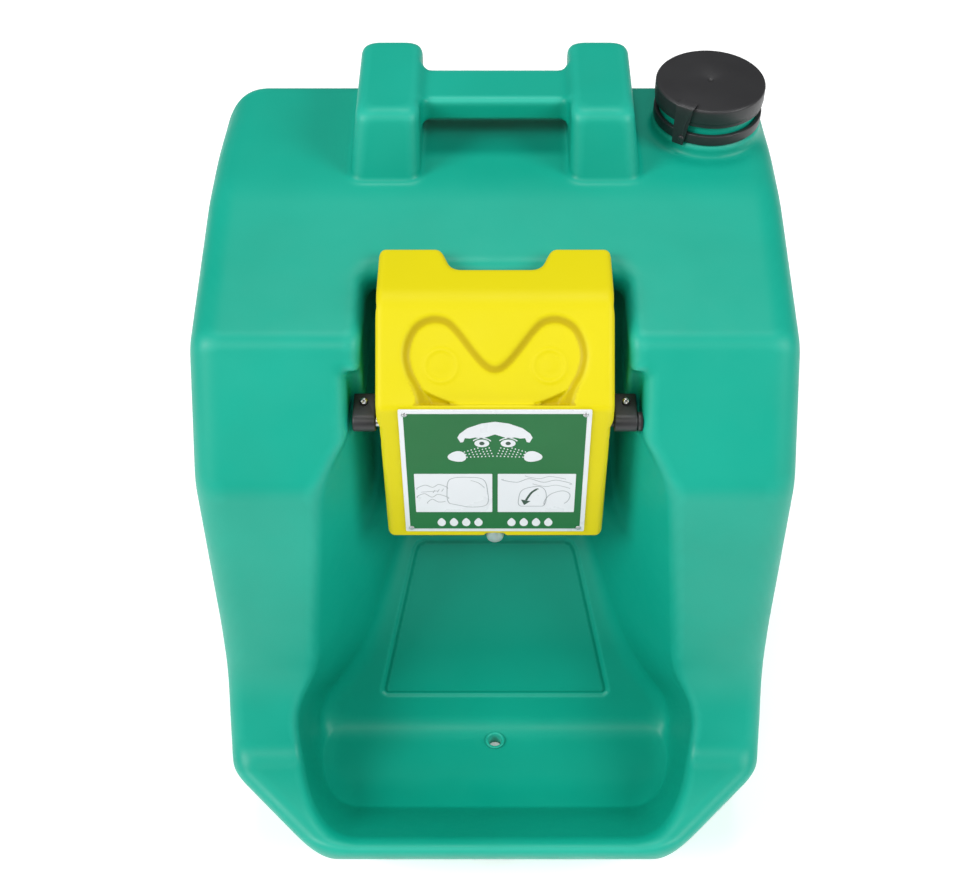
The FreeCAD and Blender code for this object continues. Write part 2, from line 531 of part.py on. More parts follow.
# bush on the left pin, valve sleeve on the right trunnion
b0 = cylinder("bush_tube", S("bush_rad"), S("arm_low_half") + " - " + S("bush_in_x"), (-AL, PY, PZ), (1, 0, 0))
b1 = cylinder("bush_bore_tool", S("bush_bore"), "60", (-AL - 20, PY, PZ), (1, 0, 0))
keep(cut("bush_cut", b0, b1), "pivot_bush_left")
slv = fuse(cyl(dim("bush_rad"), (78, PY, PZ), (AL, PY, PZ)), cyl(dim("hose_bore"), (62, PY, PZ), (79, PY, PZ)))
slv = slv.cut(cyl(dim("bush_bore"), (81, PY, PZ), (AL + 5, PY, PZ))).cut(cyl(2.8, (55, PY, PZ), (90, PY, PZ)))
feature("valve_sleeve", slv.removeSplitter())

# internal supply hose: along the pivot axis, then one U-turn up to the manifold's left end
mz = deck_pt(0, HS, MD)
a = V(76.5, PY, PZ)
turn_x = -61.0
e1 = V(turn_x, PY, PZ)
e2 = V(turn_x, mz[1], mz[2])
mid = (e1 + e2) * 0.5
rad = (e2 - e1).Length / 2
far = mid + V(-rad, 0, 0)
end = V(-58.0, mz[1], mz[2])
path = Part.Wire([Part.LineSegment(a, e1).toShape(), Part.Arc(e1, far, e2).toShape(), Part.LineSegment(e2, end).toShape()])


def sweep(r):
    circ = Part.Wire(Part.Circle(a, V(-1, 0, 0), r).toShape())
    return path.makePipeShell([circ], True, False)


hose = sweep(dim("hose_rad")).cut(sweep(dim("hose_bore")))
print("hose length", round(path.Length, 1), "radius", round(rad, 1),
      "volume ratio", round(hose.Volume / (math.pi * (dim("hose_rad") ** 2 - dim("hose_bore") ** 2) * path.Length), 4))
feature("supply_hose", hose)
feature("hose_clamps", Part.makeCompound([
    cyl(dim("hose_rad") + 1.2, (66, PY, PZ), (73, PY, PZ)).cut(cyl(dim("hose_rad"), (50, PY, PZ), (80, PY, PZ))),
    cyl(dim("hose_rad") + 1.2, (-60.9, mz[1], mz[2]), (-58.2, mz[1], mz[2])).cut(
        cyl(dim("hose_rad"), (-70, mz[1], mz[2]), (-50, mz[1], mz[2])))]))

# sign plate, its screws, bumper
body = doc.addObject("PartDesign::Body", "SignBody")
sk = body.newObject("Sketcher::SketchObject", "SignOutline")
xzp = [f for f in body.Origin.OriginFeatures if f.Role == "XZ_Plane"][0]
sk.AttachmentSupport = [(xzp, "")]
sk.MapMode = "FlatFace"
q = [(-PWI / 2, 0), (PWI / 2, 0), (PWI / 2, PHI), (-PWI / 2, PHI)]
for i in range(4):
    p0, p1 = q[i], q[(i + 1) % 4]
    sk.addGeometry(Part.LineSegment(V(p0[0], p0[1], 0), V(p1[0], p1[1], 0)), False)
for i in range(4):
    sk.addConstraint(Sketcher.Constraint("Coincident", i, 2, (i + 1) % 4, 1))
for x, z in sign_holes:
    sk.addGeometry(Part.Circle(V(x, z - PZ0, 0), V(0, 0, 1), 1.4), False)
padf = body.newObject("PartDesign::Pad", "SignPad")
padf.Profile = sk
padf.setExpression("Length", S("plate_thick"))
doc.recompute()
bb = padf.Shape.BoundBox
body.Placement = FreeCAD.Placement(V(0, SY - (bb.YMax if bb.YMax > 0.5 else 0.0), PZ0), FreeCAD.Rotation())
keep(body, "sign_plate")
feature("sign_screws", Part.makeCompound(
    [screw((x, SY - dim("plate_thick"), z), (0, 1, 0), 5.0, 2.6, 1.3, 1.4) for x, z in sign_holes]))
bump = cyl(dim("bumper_rad"), (0, dim("bumper_y"), dim("bumper_z")), (0, -62, dim("bumper_z")))
feature("stop_bumper", bump)

# ------------------------------------------------------------------ checks and files
doc.recompute()
bad = [o.Name for o in doc.Objects if "Invalid" in o.State or "Error" in o.State]
assert not bad, bad
os.makedirs("parts", exist_ok=True)
for o in NODES:
    shp = o.Shape
    assert not shp.isNull() and shp.isValid(), o.Label
    assert shp.Volume > 0, o.Label
    shp.exportStep("parts/%s.step" % o.Label)
    b = shp.BoundBox
    print("%-20s solids %d  %8.1f cm3  x %.1f..%.1f y %.1f..%.1f z %.1f..%.1f" % (
        o.Label, len(shp.Solids), shp.Volume / 1000, b.XMin, b.XMax, b.YMin, b.YMax, b.ZMin, b.ZMax))
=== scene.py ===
import bpy
import bmesh
import math
import numpy as np
from mathutils import Vector, Matrix


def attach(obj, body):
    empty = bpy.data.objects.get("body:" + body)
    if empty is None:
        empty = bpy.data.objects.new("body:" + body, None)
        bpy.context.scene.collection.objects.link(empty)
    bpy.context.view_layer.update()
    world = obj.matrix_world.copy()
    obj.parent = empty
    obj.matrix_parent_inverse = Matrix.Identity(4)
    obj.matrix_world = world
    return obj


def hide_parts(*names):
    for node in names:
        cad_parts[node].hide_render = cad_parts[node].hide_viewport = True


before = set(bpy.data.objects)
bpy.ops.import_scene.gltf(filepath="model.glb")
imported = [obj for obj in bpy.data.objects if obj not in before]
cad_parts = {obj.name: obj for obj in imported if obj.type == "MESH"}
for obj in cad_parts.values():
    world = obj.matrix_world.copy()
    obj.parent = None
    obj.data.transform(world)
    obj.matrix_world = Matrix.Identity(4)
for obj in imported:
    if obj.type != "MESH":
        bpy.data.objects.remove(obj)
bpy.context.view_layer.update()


SC = bpy.context.scene

# ------------------------------------------------------------------ camera
cam_data = bpy.data.cameras.new("camera")
cam_data.sensor_width = 36.0
cam_data.lens = 36.0 * 1450.0 / 968.0
cam_data.shift_x = -11.0 / 968.0
cam = bpy.data.objects.new("camera", cam_data)
cam.location = (0.0, -0.948, 1.429)
cam.rotation_euler = (math.radians(42.0), 0.0, 0.0)
SC.collection.objects.link(cam)
SC.camera = cam

# ------------------------------------------------------------------ materials


class Mat:
    def __init__(self, name):
        self.m = bpy.data.materials.new(name)
        self.m.use_nodes = True
        self.nt = self.m.node_tree
        self.b = self.nt.nodes["Principled BSDF"]
        self.co = self.nt.nodes.new("ShaderNodeTexCoord")

    def set(self, **kw):
        for k, v in kw.items():
            self.b.inputs[k.replace("_", " ")].default_value = v
        return self

    def noise(self, scale, detail=3.0, rough=0.5, stretch=None):
        n = self.nt.nodes.new("ShaderNodeTexNoise")
        n.inputs["Scale"].default_value = scale
        n.inputs["Detail"].default_value = detail
        n.inputs["Roughness"].default_value = rough
        if stretch:
            mp = self.nt.nodes.new("ShaderNodeMapping")
            mp.inputs["Scale"].default_value = stretch
            self.nt.links.new(self.co.outputs["Object"], mp.inputs["Vector"])
            self.nt.links.new(mp.outputs["Vector"], n.inputs["Vector"])
        else:
            self.nt.links.new(self.co.outputs["Object"], n.inputs["Vector"])
        return n.outputs["Fac"]

    def ramp(self, fac, stops):
        r = self.nt.nodes.new("ShaderNodeValToRGB")
        el = r.color_ramp.elements
        while len(el) > 1:
            el.remove(el[-1])
        el[0].position = stops[0][0]
        el[0].color = (*stops[0][1], 1.0)
        for p, c in stops[1:]:
            e = el.new(p)
            e.color = (*c, 1.0)
        self.nt.links.new(fac, r.inputs["Fac"])
        return r.outputs["Color"]

    def to(self, out, socket):
        self.nt.links.new(out, self.b.inputs[socket])
        return self

    def maprange(self, fac, lo, hi, a=0.0, b=1.0):
        n = self.nt.nodes.new("ShaderNodeMapRange")
        n.inputs["From Min"].default_value = a
        n.inputs["From Max"].default_value = b
        n.inputs["To Min"].default_value = lo
        n.inputs["To Max"].default_value = hi
        self.nt.links.new(fac, n.inputs["Value"])
        return n.outputs["Result"]

    def bump(self, *layers):
        prev = None
        for fac, strength, dist in layers:
            bn = self.nt.nodes.new("ShaderNodeBump")
            bn.inputs["Strength"].default_value = strength
            bn.inputs["Distance"].default_value = dist
            self.nt.links.new(fac, bn.inputs["Height"])
            if prev is not None:
                self.nt.links.new(prev, bn.inputs["Normal"])
            prev = bn.outputs["Normal"]
        self.nt.links.new(prev, self.b.inputs["Normal"])
        return self

    def geometry(self, name):
        g = self.nt.nodes.new("ShaderNodeNewGeometry")
        return g.outputs[name]

    def mixcol(self, fac, a, b):
        m = self.nt.nodes.new("ShaderNodeMix")
        m.data_type = "RGBA"
        self.nt.links.new(fac, m.inputs[0])
        for sock, v in ((6, a), (7, b)):
            if isinstance(v, tuple):
                m.inputs[sock].default_value = (*v, 1.0)
            else:
                self.nt.links.new(v, m.inputs[sock])
        return m.outputs[2]


def srgb(r, g, b):
    def f(c):
        c = c / 255.0
        return c / 12.92 if c <= 0.04045 else ((c + 0.055) / 1.055) ** 2.4
    return (f(r), f(g), f(b))


def moulded(name, dark, mid, light, rough=(0.36, 0.46), grain=900.0, grain_d=0.00004, spec=0.5, sheen=0.0, edge_highlight=None,
            peel=60.0, peel_d=0.00035):
    m = Mat(name)
    m.set(Metallic=0.0)
    m.b.inputs["Specular IOR Level"].default_value = spec
    big = m.noise(5.0, 3.0, 0.55)
    col = m.ramp(big, [(0.30, dark), (0.5, mid), (0.72, light)])
    # painted highlight: convex edges, picked out by Pointiness, get a lighter colour
    if edge_highlight:
        highlight_fac = m.maprange(m.geometry("Pointiness"), 0.0, 1.0, 0.505, 0.56)
        col = m.mixcol(highlight_fac, col, edge_highlight)
    m.to(col, "Base Color")
    m.to(m.maprange(m.noise(26.0, 5.0, 0.6), rough[0], rough[1], 0.3, 0.7), "Roughness")
    m.bump((m.noise(peel, 2.0, 0.5), 0.25, peel_d), (m.noise(grain, 2.0, 0.6), 0.35, grain_d))
    return m


# the edge colours given below are painted highlights on convex edges
green = moulded("green_polyethylene", srgb(0, 150, 127), srgb(2, 155, 132), srgb(5, 160, 137), rough=(0.40, 0.50),
                edge_highlight=srgb(50, 184, 162), spec=0.32)
yellow = moulded("yellow_polyethylene", srgb(208, 195, 0), srgb(211, 198, 1), srgb(214, 201, 3), rough=(0.42, 0.52),
                 edge_highlight=srgb(220, 206, 36), spec=0.2)
black = moulded("black_polypropylene", srgb(26, 26, 28), srgb(32, 32, 34), srgb(39, 39, 41), rough=(0.38, 0.5),
                grain=1400.0, grain_d=0.00005, edge_highlight=srgb(48, 48, 50))
grey = moulded("grey_moulded", srgb(84, 88, 90), srgb(92, 96, 98), srgb(102, 106, 108), rough=(0.42, 0.55))
nylon = moulded("natural_nylon", srgb(206, 204, 192), srgb(216, 214, 203), srgb(224, 222, 212), rough=(0.35, 0.45))
nylon.set(Subsurface_Weight=0.15)
rubber = moulded("black_rubber", srgb(18, 18, 18), srgb(24, 24, 24), srgb(30, 30, 30), rough=(0.65, 0.8))
silicone = moulded("clear_silicone", srgb(150, 178, 176), srgb(164, 190, 188), srgb(178, 202, 200), rough=(0.25, 0.4))
silicone.set(Subsurface_Weight=0.6, Transmission_Weight=0.35)
hose_m = moulded("clear_hose", srgb(170, 184, 182), srgb(182, 196, 194), srgb(196, 208, 206), rough=(0.18, 0.3))
hose_m.set(Transmission_Weight=0.55)


# painted shade: the per-vertex recess attribute mixes a darker yellow into the goggle recess walls and the slope
# above the lower slot
recess_shade_attr = yellow.nt.nodes.new("ShaderNodeAttribute")
recess_shade_attr.attribute_name = "recess"
yl = yellow.b.inputs["Base Color"].links[0].from_socket
yellow.to(yellow.mixcol(recess_shade_attr.outputs["Fac"], yl, srgb(190, 169, 2)), "Base Color")


def steel_mat():
    m = Mat("stainless_steel")
    m.set(Metallic=1.0)
    m.to(m.ramp(m.noise(220.0, 4.0, 0.6, (1.0, 1.0, 14.0)), [(0.3, srgb(172, 172, 174)), (0.7, srgb(204, 204, 206))]), "Base Color")
    m.to(m.maprange(m.noise(380.0, 3.0, 0.6, (1.0, 1.0, 10.0)), 0.2, 0.38), "Roughness")
    m.bump((m.noise(900.0, 2.0, 0.5, (1.0, 1.0, 12.0)), 0.25, 0.00003))
    return m


steel = steel_mat()
sign_green = moulded("sign_green_print", srgb(4, 94, 42), srgb(6, 100, 46), srgb(10, 108, 52), rough=(0.34, 0.42), spec=0.35,
                     peel=14.0, peel_d=0.0003)
sign_white = moulded("sign_white_plastic", srgb(207, 210, 214), srgb(214, 217, 221), srgb(220, 223, 227), rough=(0.25, 0.34),
                     peel=14.0, peel_d=0.0003)
sign_line = moulded("sign_grey_line", srgb(140, 146, 150), srgb(150, 156, 160), srgb(160, 165, 168), rough=(0.3, 0.4))
sign_dark = moulded("sign_dark_line", srgb(28, 60, 44), srgb(34, 66, 50), srgb(40, 72, 56), rough=(0.3, 0.4))

# ------------------------------------------------------------------ mesh helpers


def new_obj(name, verts, faces, mats, smooth=True, matidx=None):
    me = bpy.data.meshes.new(name)
    me.from_pydata([tuple(v) for v in verts], [], [tuple(f) for f in faces])
    me.validate()
    me.update()
    ob = bpy.data.objects.new(name, me)
    SC.collection.objects.link(ob)
    for m in mats:
        me.materials.append(m.m)
    if matidx is not None:
        me.polygons.foreach_set("material_index", matidx)
    me.polygons.foreach_set("use_smooth", [smooth] * len(me.polygons))
    return ob


def big_obj(name, verts, quads, mats):
    """Fast mesh from numpy arrays, all quads, smooth shaded."""
    me = bpy.data.meshes.new(name)
    me.vertices.add(len(verts))
    me.vertices.foreach_set("co", np.ascontiguousarray(verts, dtype=np.float32).ravel())
    me.loops.add(len(quads) * 4)
    me.loops.foreach_set("vertex_index", np.ascontiguousarray(quads, dtype=np.int32).ravel())
    me.polygons.add(len(quads))
    me.polygons.foreach_set("loop_start", np.arange(0, len(quads) * 4, 4, dtype=np.int32))
    me.polygons.foreach_set("use_smooth", np.ones(len(quads), dtype=bool))
    me.update(calc_edges=True)
    me.validate()
    ob = bpy.data.objects.new(name, me)
    SC.collection.objects.link(ob)
    for m in mats:
        me.materials.append(m.m)
    return ob


def smax(a, b, k):
    h = np.maximum(k - np.abs(a - b), 0.0) / k
    return np.maximum(a, b) + h * h * (k * 0.25)


def smin(a, b, k):
    h = np.maximum(k - np.abs(a - b), 0.0) / k
    return np.minimum(a, b) - h * h * (k * 0.25)


def project(func, P, step, rounds):
    h = 0.15
    for _ in range(rounds):
        x, y, z = P[:, 0], P[:, 1], P[:, 2]
        f = func(x, y, z)
        g = np.stack([(func(x + h, y, z) - func(x - h, y, z)), (func(x, y + h, z) - func(x, y - h, z)),
                      (func(x, y, z + h) - func(x, y, z - h))], 1) / (2 * h)
        gg = np.maximum((g * g).sum(1), 0.05)
        stepv = -(f / gg)[:, None] * g
        ln = np.linalg.norm(stepv, axis=1)
        stepv *= np.minimum(1.0, 0.6 * step / np.maximum(ln, 1e-9))[:, None]
        P = P + stepv
    return P


def refine(ob, func, near, step, cuts):
    """Splits the faces near a fine feature and pulls the new points onto the surface."""
    me = ob.data
    co = np.empty(len(me.vertices) * 3, dtype=np.float32)
    me.vertices.foreach_get("co", co)
    co = co.reshape(-1, 3).astype(np.float64) * 1000.0
    hot = near(co[:, 0], co[:, 1], co[:, 2])
    bm = bmesh.new()
    bm.from_mesh(me)
    bm.verts.ensure_lookup_table()
    edges = [e for e in bm.edges if hot[e.verts[0].index] and hot[e.verts[1].index]]
    n0 = len(bm.verts)
    bmesh.ops.subdivide_edges(bm, edges=edges, cuts=cuts, use_grid_fill=True)
    bm.verts.index_update()
    bm.to_mesh(me)
    bm.free()
    co = np.empty(len(me.vertices) * 3, dtype=np.float32)
    me.vertices.foreach_get("co", co)
    co = co.reshape(-1, 3).astype(np.float64) * 1000.0
    sel = near(co[:, 0], co[:, 1], co[:, 2])
    co[sel] = project(func, co[sel], step, 3)
    me.vertices.foreach_set("co", (co / 1000.0).astype(np.float32).ravel())
    me.polygons.foreach_set("use_smooth", np.ones(len(me.polygons), dtype=bool))
    me.update()


def surface(func, lo, hi, step, name, mats, chunk=24):
    """Surface-net mesh of func < 0 (mm), pulled onto the exact surface; returns a Blender object in metres."""
    n = [int(math.ceil((hi[i] - lo[i]) / step)) + 1 for i in range(3)]
    ax = [np.float32(lo[i]) + np.arange(n[i], dtype=np.float32) * np.float32(step) for i in range(3)]
    F = np.empty(n, dtype=np.float32)
    for s in range(0, n[0], chunk):
        X, Y, Z = np.meshgrid(ax[0][s:s + chunk], ax[1], ax[2], indexing="ij", sparse=True)
        F[s:s + chunk] = func(X, Y, Z)
    ins = F < 0
    m = [v - 1 for v in n]
    corner = [(i, j, k) for i in (0, 1) for j in (0, 1) for k in (0, 1)]
    cnt = np.zeros(m, dtype=np.int8)
    for i, j, k in corner:
        cnt += ins[i:i + m[0], j:j + m[1], k:k + m[2]]
    act = (cnt > 0) & (cnt < 8)
    idx = np.full(m, -1, dtype=np.int32)
    cells = np.argwhere(act)
    idx[act] = np.arange(len(cells), dtype=np.int32)
    acc = np.zeros((len(cells), 3), dtype=np.float64)
    num = np.zeros(len(cells))
    vals = {c: F[cells[:, 0] + c[0], cells[:, 1] + c[1], cells[:, 2] + c[2]].astype(np.float64) for c in corner}
    for a in corner:
        for d in range(3):
            if a[d]:
                continue
            b = list(a)
            b[d] = 1
            fa, fb = vals[a], vals[tuple(b)]
            cr = (fa < 0) != (fb < 0)
            t = np.where(cr, fa / np.where(cr, fa - fb, 1.0), 0.0)
            p = np.zeros((len(cells), 3))
            p[:] = a
            p[:, d] = t
            acc[cr] += p[cr]
            num += cr
    P = (cells + acc / num[:, None]) * step + np.array(lo)
    quads = []
    for d in range(3):
        e = [slice(None)] * 3
        e2 = [slice(None)] * 3
        e[d] = slice(0, n[d] - 1)
        e2[d] = slice(1, n[d])
        A, B = ins[tuple(e)], ins[tuple(e2)]
        cross = A != B
        u, w = (d + 1) % 3, (d + 2) % 3
        sl = [slice(None)] * 3
        sl[u] = slice(1, n[u] - 1)
        sl[w] = slice(1, n[w] - 1)
        base = np.argwhere(cross[tuple(sl)])
        base[:, u] += 1
        base[:, w] += 1
        flip = A[base[:, 0], base[:, 1], base[:, 2]]
        o = []
        for du, dw in ((-1, -1), (0, -1), (0, 0), (-1, 0)):
            q = base.copy()
            q[:, u] += du
            q[:, w] += dw
            o.append(idx[q[:, 0], q[:, 1], q[:, 2]])
        Q = np.stack(o, 1)
        Q[~flip] = Q[~flip][:, ::-1]
        quads.append(Q)
    Q = np.concatenate(quads)
    P = project(func, P, step, 3)
    return big_obj(name, P / 1000.0, Q, mats)


def plane2(p, q, outside):
    """Unit plane through two (y, z) points; positive on the side of the third."""
    n = np.array([-(q[1] - p[1]), q[0] - p[0]], float)
    n /= np.linalg.norm(n)
    d = n @ np.array(p, float)
    if n @ np.array(outside, float) < d:
        n, d = -n, -d
    return n[0], n[1], d


def unit(a, b, c, d):
    s = math.sqrt(a * a + b * b + c * c)
    return a / s, b / s, c / s, d / s


# ------------------------------------------------------------------ tank
TOPZ, RIM, FLOOR = 588.0, 127.0, 50.0
pA = plane2((134, 588), (-38.6, 558), (0, 900))
pB = plane2((-38.6, 558), (-121, 450), (-300, 600))
pC = plane2((-121, 450), (-152, 188), (-400, 300))
pL = plane2((-153, 188), (-197, 127), (-400, 300))
pU = plane2((-302, 110), (-240, 0), (-400, 0))
pPF = plane2((142, 588), (168, 648), (0, 700))
pPB = plane2((296, 588), (288, 648), (400, 700))
pPO = unit(60, 0, 8, 60 * 128 + 8 * 648)
pDF = plane2((-284, 127), (-205, 50), (-400, 0))
pDC = (0.7573, -0.4862, -0.4359, 200.7)
pBS = unit(0, 1.732, -1, 1.732 * (-118.4) - 50.0)
pFN = (0.7191, 0.631, 0.2911, 92.9)
pDS = unit(1, 0, -0.13, 180.5)
pDT = unit(27, 0, 21, 27 * 179 + 21 * 203)
pCH = (0.8626, 0.5055, 0.0215, 83.8)
pCT = unit(1, 0, 0.906, 160 + 0.906 * 450)
pCC = unit(1, -1, 0, 475)
pCU = unit(1, -1, -0.8, 475 - 88)
pST = unit(100, 0, -8, 100 * 270 - 800)
NX, NY = 204.7, 230.7

# trapezoid moulded into the channel's back slope: (x, distance up the slope from the floor line)
US = (1 / math.sqrt(1 + 1.732 ** 2), 1.732 / math.sqrt(1 + 1.732 ** 2))


def p2(n, Y, Z):
    return n[0] * Y + n[1] * Z - n[2]


def p3(n, X, Y, Z):
    return n[0] * X + n[1] * Y + n[2] * Z - n[3]


GROOVE = [(-116.0, 41.5), (-119.5, 44.5), (-119.4, 49.0), (-84.0, 208.0), (-80.0, 215.5), (-73.0, 219.0), (73.0, 219.0), (80.0, 215.5),
          (84.0, 208.0), (119.4, 49.0), (119.5, 44.5), (116.0, 41.5)]


def seg_dist(px, pz, a, b):
    dx, dz = b[0] - a[0], b[1] - a[1]
    t = np.clip(((px - a[0]) * dx + (pz - a[1]) * dz) / (dx * dx + dz * dz), 0, 1)
    return np.sqrt((px - a[0] - t * dx) ** 2 + (pz - a[1] - t * dz) ** 2)


def ramp01(t):
    t = np.clip(t, 0.0, 1.0)
    return t * t * (3.0 - 2.0 * t)


def tank(X, Y, Z):
    A = np.abs(X)
    fu = smax(p2(pA, Y, Z), Z - TOPZ, 3.0)
    fu = smax(fu, p2(pB, Y, Z), 7.0)
    fu = smax(fu, p2(pC, Y, Z), 6.0)
    fu = smax(fu, Y - 302.0, 13.0)
    ff = smax(Z - RIM, -Y - 302.0, 13.0)
    ff = smax(ff, p2(pU, Y, Z), 8.0)
    ff = np.maximum(ff, Y + 60.0)
    fl = np.maximum(p2(pL, Y, Z), Y + 40.0)
    fl = smax(fl, -Y - 302.0, 13.0)
    fl = smax(fl, p2(pU, Y, Z), 8.0)
    f = smin(fu, fl, 15.0)
    f = smin(f, ff, 14.0)
    side = smax(A - 270.0, p3(pST, A, Y, Z), 6.0)
    side = smax(side, p3(pCC, A, Y, Z), 16.0)
    kz = 20.0 + 11.0 * ramp01((Z - 150.0) / 120.0)
    f = smax(f, side, kz + 12.0 * ramp01((Y - 190.0) / 100.0))
    f = smax(f, p3(pCU, A, Y, Z), 8.0)
    f = smax(f, -Z, 12.0)
    # carrying handle
    fp = smax(70.0 - A, p3(pPO, A, Y, Z), 14.0)
    fp = smax(fp, smax(p2(pPF, Y, Z), p2(pPB, Y, Z), 8.0), 14.0)
    fp = smax(fp, Z - 648.0, 10.0)
    fp = np.maximum(fp, 560.0 - Z)
    fb = smax(np.abs(Y - 224.0) - 26.4, np.abs(Z - 628.5) - 11.9, 7.0)
    fb = np.maximum(fb, A - 84.0)
    fh = smin(fp, fb, 10.0)
    f = smin(f, fh, 4.5)
    # filler neck
    R = np.sqrt((X - NX) ** 2 + (Y - NY) ** 2)
    fn = smax(R - 52.0, Z - 601.0, 6.0)
    fn = smin(fn, smax(R - 47.0, Z - 634.0, 3.0), 3.0)
    fn = np.maximum(fn, 560.0 - Z)
    f = smin(f, fn, 8.0)
    # basin and channel
    bs = p3(pBS, A, Y, Z)
    gy = Y + 118.4
    up = gy * US[0] + (Z - FLOOR) * US[1]
    d = np.full(np.broadcast(A, up).shape, 1e3, dtype=np.float32)
    for i in range(len(GROOVE) - 1):
        d = np.minimum(d, seg_dist(X + 0 * up, up + 0 * X, GROOVE[i], GROOVE[i + 1]))
    d = np.minimum(d, seg_dist(X + 0 * up, up + 0 * X, GROOVE[0], GROOVE[-1]))
    bs = bs - 2.2 * np.exp(-(d / 2.6) ** 2)
    dish = smax(FLOOR - Z, p2(pDF, Y, Z), 20.0)
    dish = smax(dish, p3(pDC, A, Y, Z), 20.0)
    dish = smax(dish, p3(pFN, A, Y, Z), 12.0)
    dish = smax(dish, p3(pDS, A, Y, Z), 22.0)
    dish = smax(dish, p3(pDT, A, Y, Z), 12.0)
    dish = np.maximum(dish, Z - 300.0)
    chan = smax(p3(pCH, A, Y, Z), A - 180.0, 10.0)
    chan = smax(chan, p3(pCT, A, Y, Z), 8.0)
    chan = smax(chan, p2(pDF, Y, Z), 20.0)
    chan = smax(chan, p3(pDC, A, Y, Z), 20.0)
    chan = smax(np.maximum(chan, 60.0 - Z), Z - 500.0, 8.0)
    chan = np.maximum(chan, Y - 104.0)
    slot = smax(A - 116.0, Y - 104.0, 14.0)
    slot = smax(slot, Z - 548.0, 10.0)
    slot = smax(slot, 320.0 - Z, 20.0)
    # the basin, channel and slot share one sloping back wall
    low = smin(smin(dish, chan, 16.0), slot, 12.0)
    low = smax(low, bs, 15.0)
    mouth = smax(A - 116.0, Y - 38.0, 22.0)
    mouth = np.maximum(mouth, 500.0 - Z)
    pock = smax(A - 130.0, Y + 45.0, 7.0)
    pock = smax(pock, np.abs(Z - 504.0) - 26.0, 7.0)
    cav = smin(low, mouth, 5.0)
    cav = smin(cav, pock, 5.0)
    f = smax(f, -cav, 9.0 + 6.0 * ramp01((Z - 420.0) / 80.0))
    # recess under the drain, drain hole and neck bore
    un = smax(smax(A - 24.0, Z - 32.0, 6.0), Y + 105.0, 6.0)
    f = smax(f, -un, 3.0)
    f = np.maximum(f, -np.maximum(np.sqrt(X ** 2 + (Y + 134.0) ** 2) - 8.0, Z - 90.0))
    f = np.maximum(f, -np.maximum(R - 41.0, 598.0 - Z))
    return f


tank_obj = surface(tank, (-274.0, -306.0, -4.0), (274.0, 306.0, 652.0), 3.0, "tank_skin", [green])


def groove_near(X, Y, Z):
    up = (Y + 118.4) * US[0] + (Z - FLOOR) * US[1]
    off = np.abs((1.732 * Y - Z + 255.07) / 2.0)
    d = np.full(X.shape, 1e3)
    for i in range(len(GROOVE)):
        d = np.minimum(d, seg_dist(X, up, GROOVE[i - 1], GROOVE[i]))
    return (d < 8.0) & (off < 6.0)


def drain_near(X, Y, Z):
    return (np.sqrt(X ** 2 + (Y + 134.0) ** 2) < 13.0) & (Z > 40.0) & (Z < 60.0)


refine(tank_obj, tank, groove_near, 1.0, 2)
refine(tank_obj, tank, drain_near, 1.0, 2)
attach(tank_obj, "tank")
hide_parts("tank_shell")

# ------------------------------------------------------------------ arm
pvY, pvZ = -72.0, 490.0
pSl = plane2((-16.5, 586.0), (-86.0, 524.0), (-300, 700))
TLT = math.radians(10.0)
tY, tZ = math.sin(TLT), math.cos(TLT)
nY, nZ = math.cos(TLT), -math.sin(TLT)
SLEN = math.hypot(-16.5 + 86.0, 586.0 - 524.0)
sY, sZ = -69.5 / SLEN, -62.0 / SLEN


def lerp_outline(points, count):
    """Closed smooth Catmull-Rom outline through points."""
    P = np.array(points, float)
    n = len(P)
    out = []
    for i in range(n):
        p0, p1, p2_, p3_ = P[(i - 1) % n], P[i], P[(i + 1) % n], P[(i + 2) % n]
        for k in range(count):
            t = k / count
            out.append(0.5 * ((2 * p1) + (-p0 + p2_) * t + (2 * p0 - 5 * p1 + 4 * p2_ - p3_) * t * t
                              + (-p0 + 3 * p1 - 3 * p2_ + p3_) * t ** 3))
    return np.array(out)


def poly_sdf(px, py, poly):
    """Signed distance to a closed polygon, negative inside."""
    d = np.full(np.broadcast(px, py).shape, 1e9, dtype=np.float64)
    inside = np.zeros(d.shape, dtype=bool)
    n = len(poly)
    for i in range(n):
        a, b = poly[i], poly[(i + 1) % n]
        ex, ey = b[0] - a[0], b[1] - a[1]
        wx, wy = px - a[0], py - a[1]
        t = np.clip((wx * ex + wy * ey) / max(ex * ex + ey * ey, 1e-9), 0, 1)
        d = np.minimum(d, (wx - ex * t) ** 2 + (wy - ey * t) ** 2)
        c1 = (py >= a[1]) & (py < b[1]) & (ex * wy > ey * wx)
        c2 = (py < a[1]) & (py >= b[1]) & (ex * wy < ey * wx)
        inside ^= (c1 | c2)
    return np.sqrt(d) * np.where(inside, -1.0, 1.0)


GOG_HALF = [(0.0, 57.0), (-7.5, 53.0), (-17.0, 42.0), (-29.0, 26.5), (-39.0, 17.0), (-50.0, 13.8), (-61.0, 15.5),
            (-71.5, 22.5), (-78.5, 35.0), (-81.0, 50.0), (-77.5, 66.0), (-71.0, 78.0), (-67.5, 90.0), (-67.0, 104.0)]
GOG = GOG_HALF + [(-x, s) for x, s in reversed(GOG_HALF[1:])]
GOGP = lerp_outline(GOG, 4)


def curve_of(A):
    return 95.0 - 0.00433 * A * A


def recess(X, Y, Z, A, d_sl):
    s = (Y + 16.5) * sY + (Z - 586.0) * sZ
    g = poly_sdf(X + 0 * s, s + 0 * X, GOGP)
    wall = (g - 1.05 * d_sl) / 1.45
    over = s - curve_of(A)
    depth = 6.0 + 3.2 * ramp01(over / 3.0) + 0.45 * np.clip(over, 0.0, 30.0)
    rec = smax(wall, -(d_sl + depth), 2.2)
    rec = np.maximum(rec, s - 91.8)
    rec = np.maximum(rec, -(d_sl + 16.0))
    rr = np.sqrt((A - 47.0) ** 2 + (s - 57.7) ** 2)
    return rec, rr, g, s


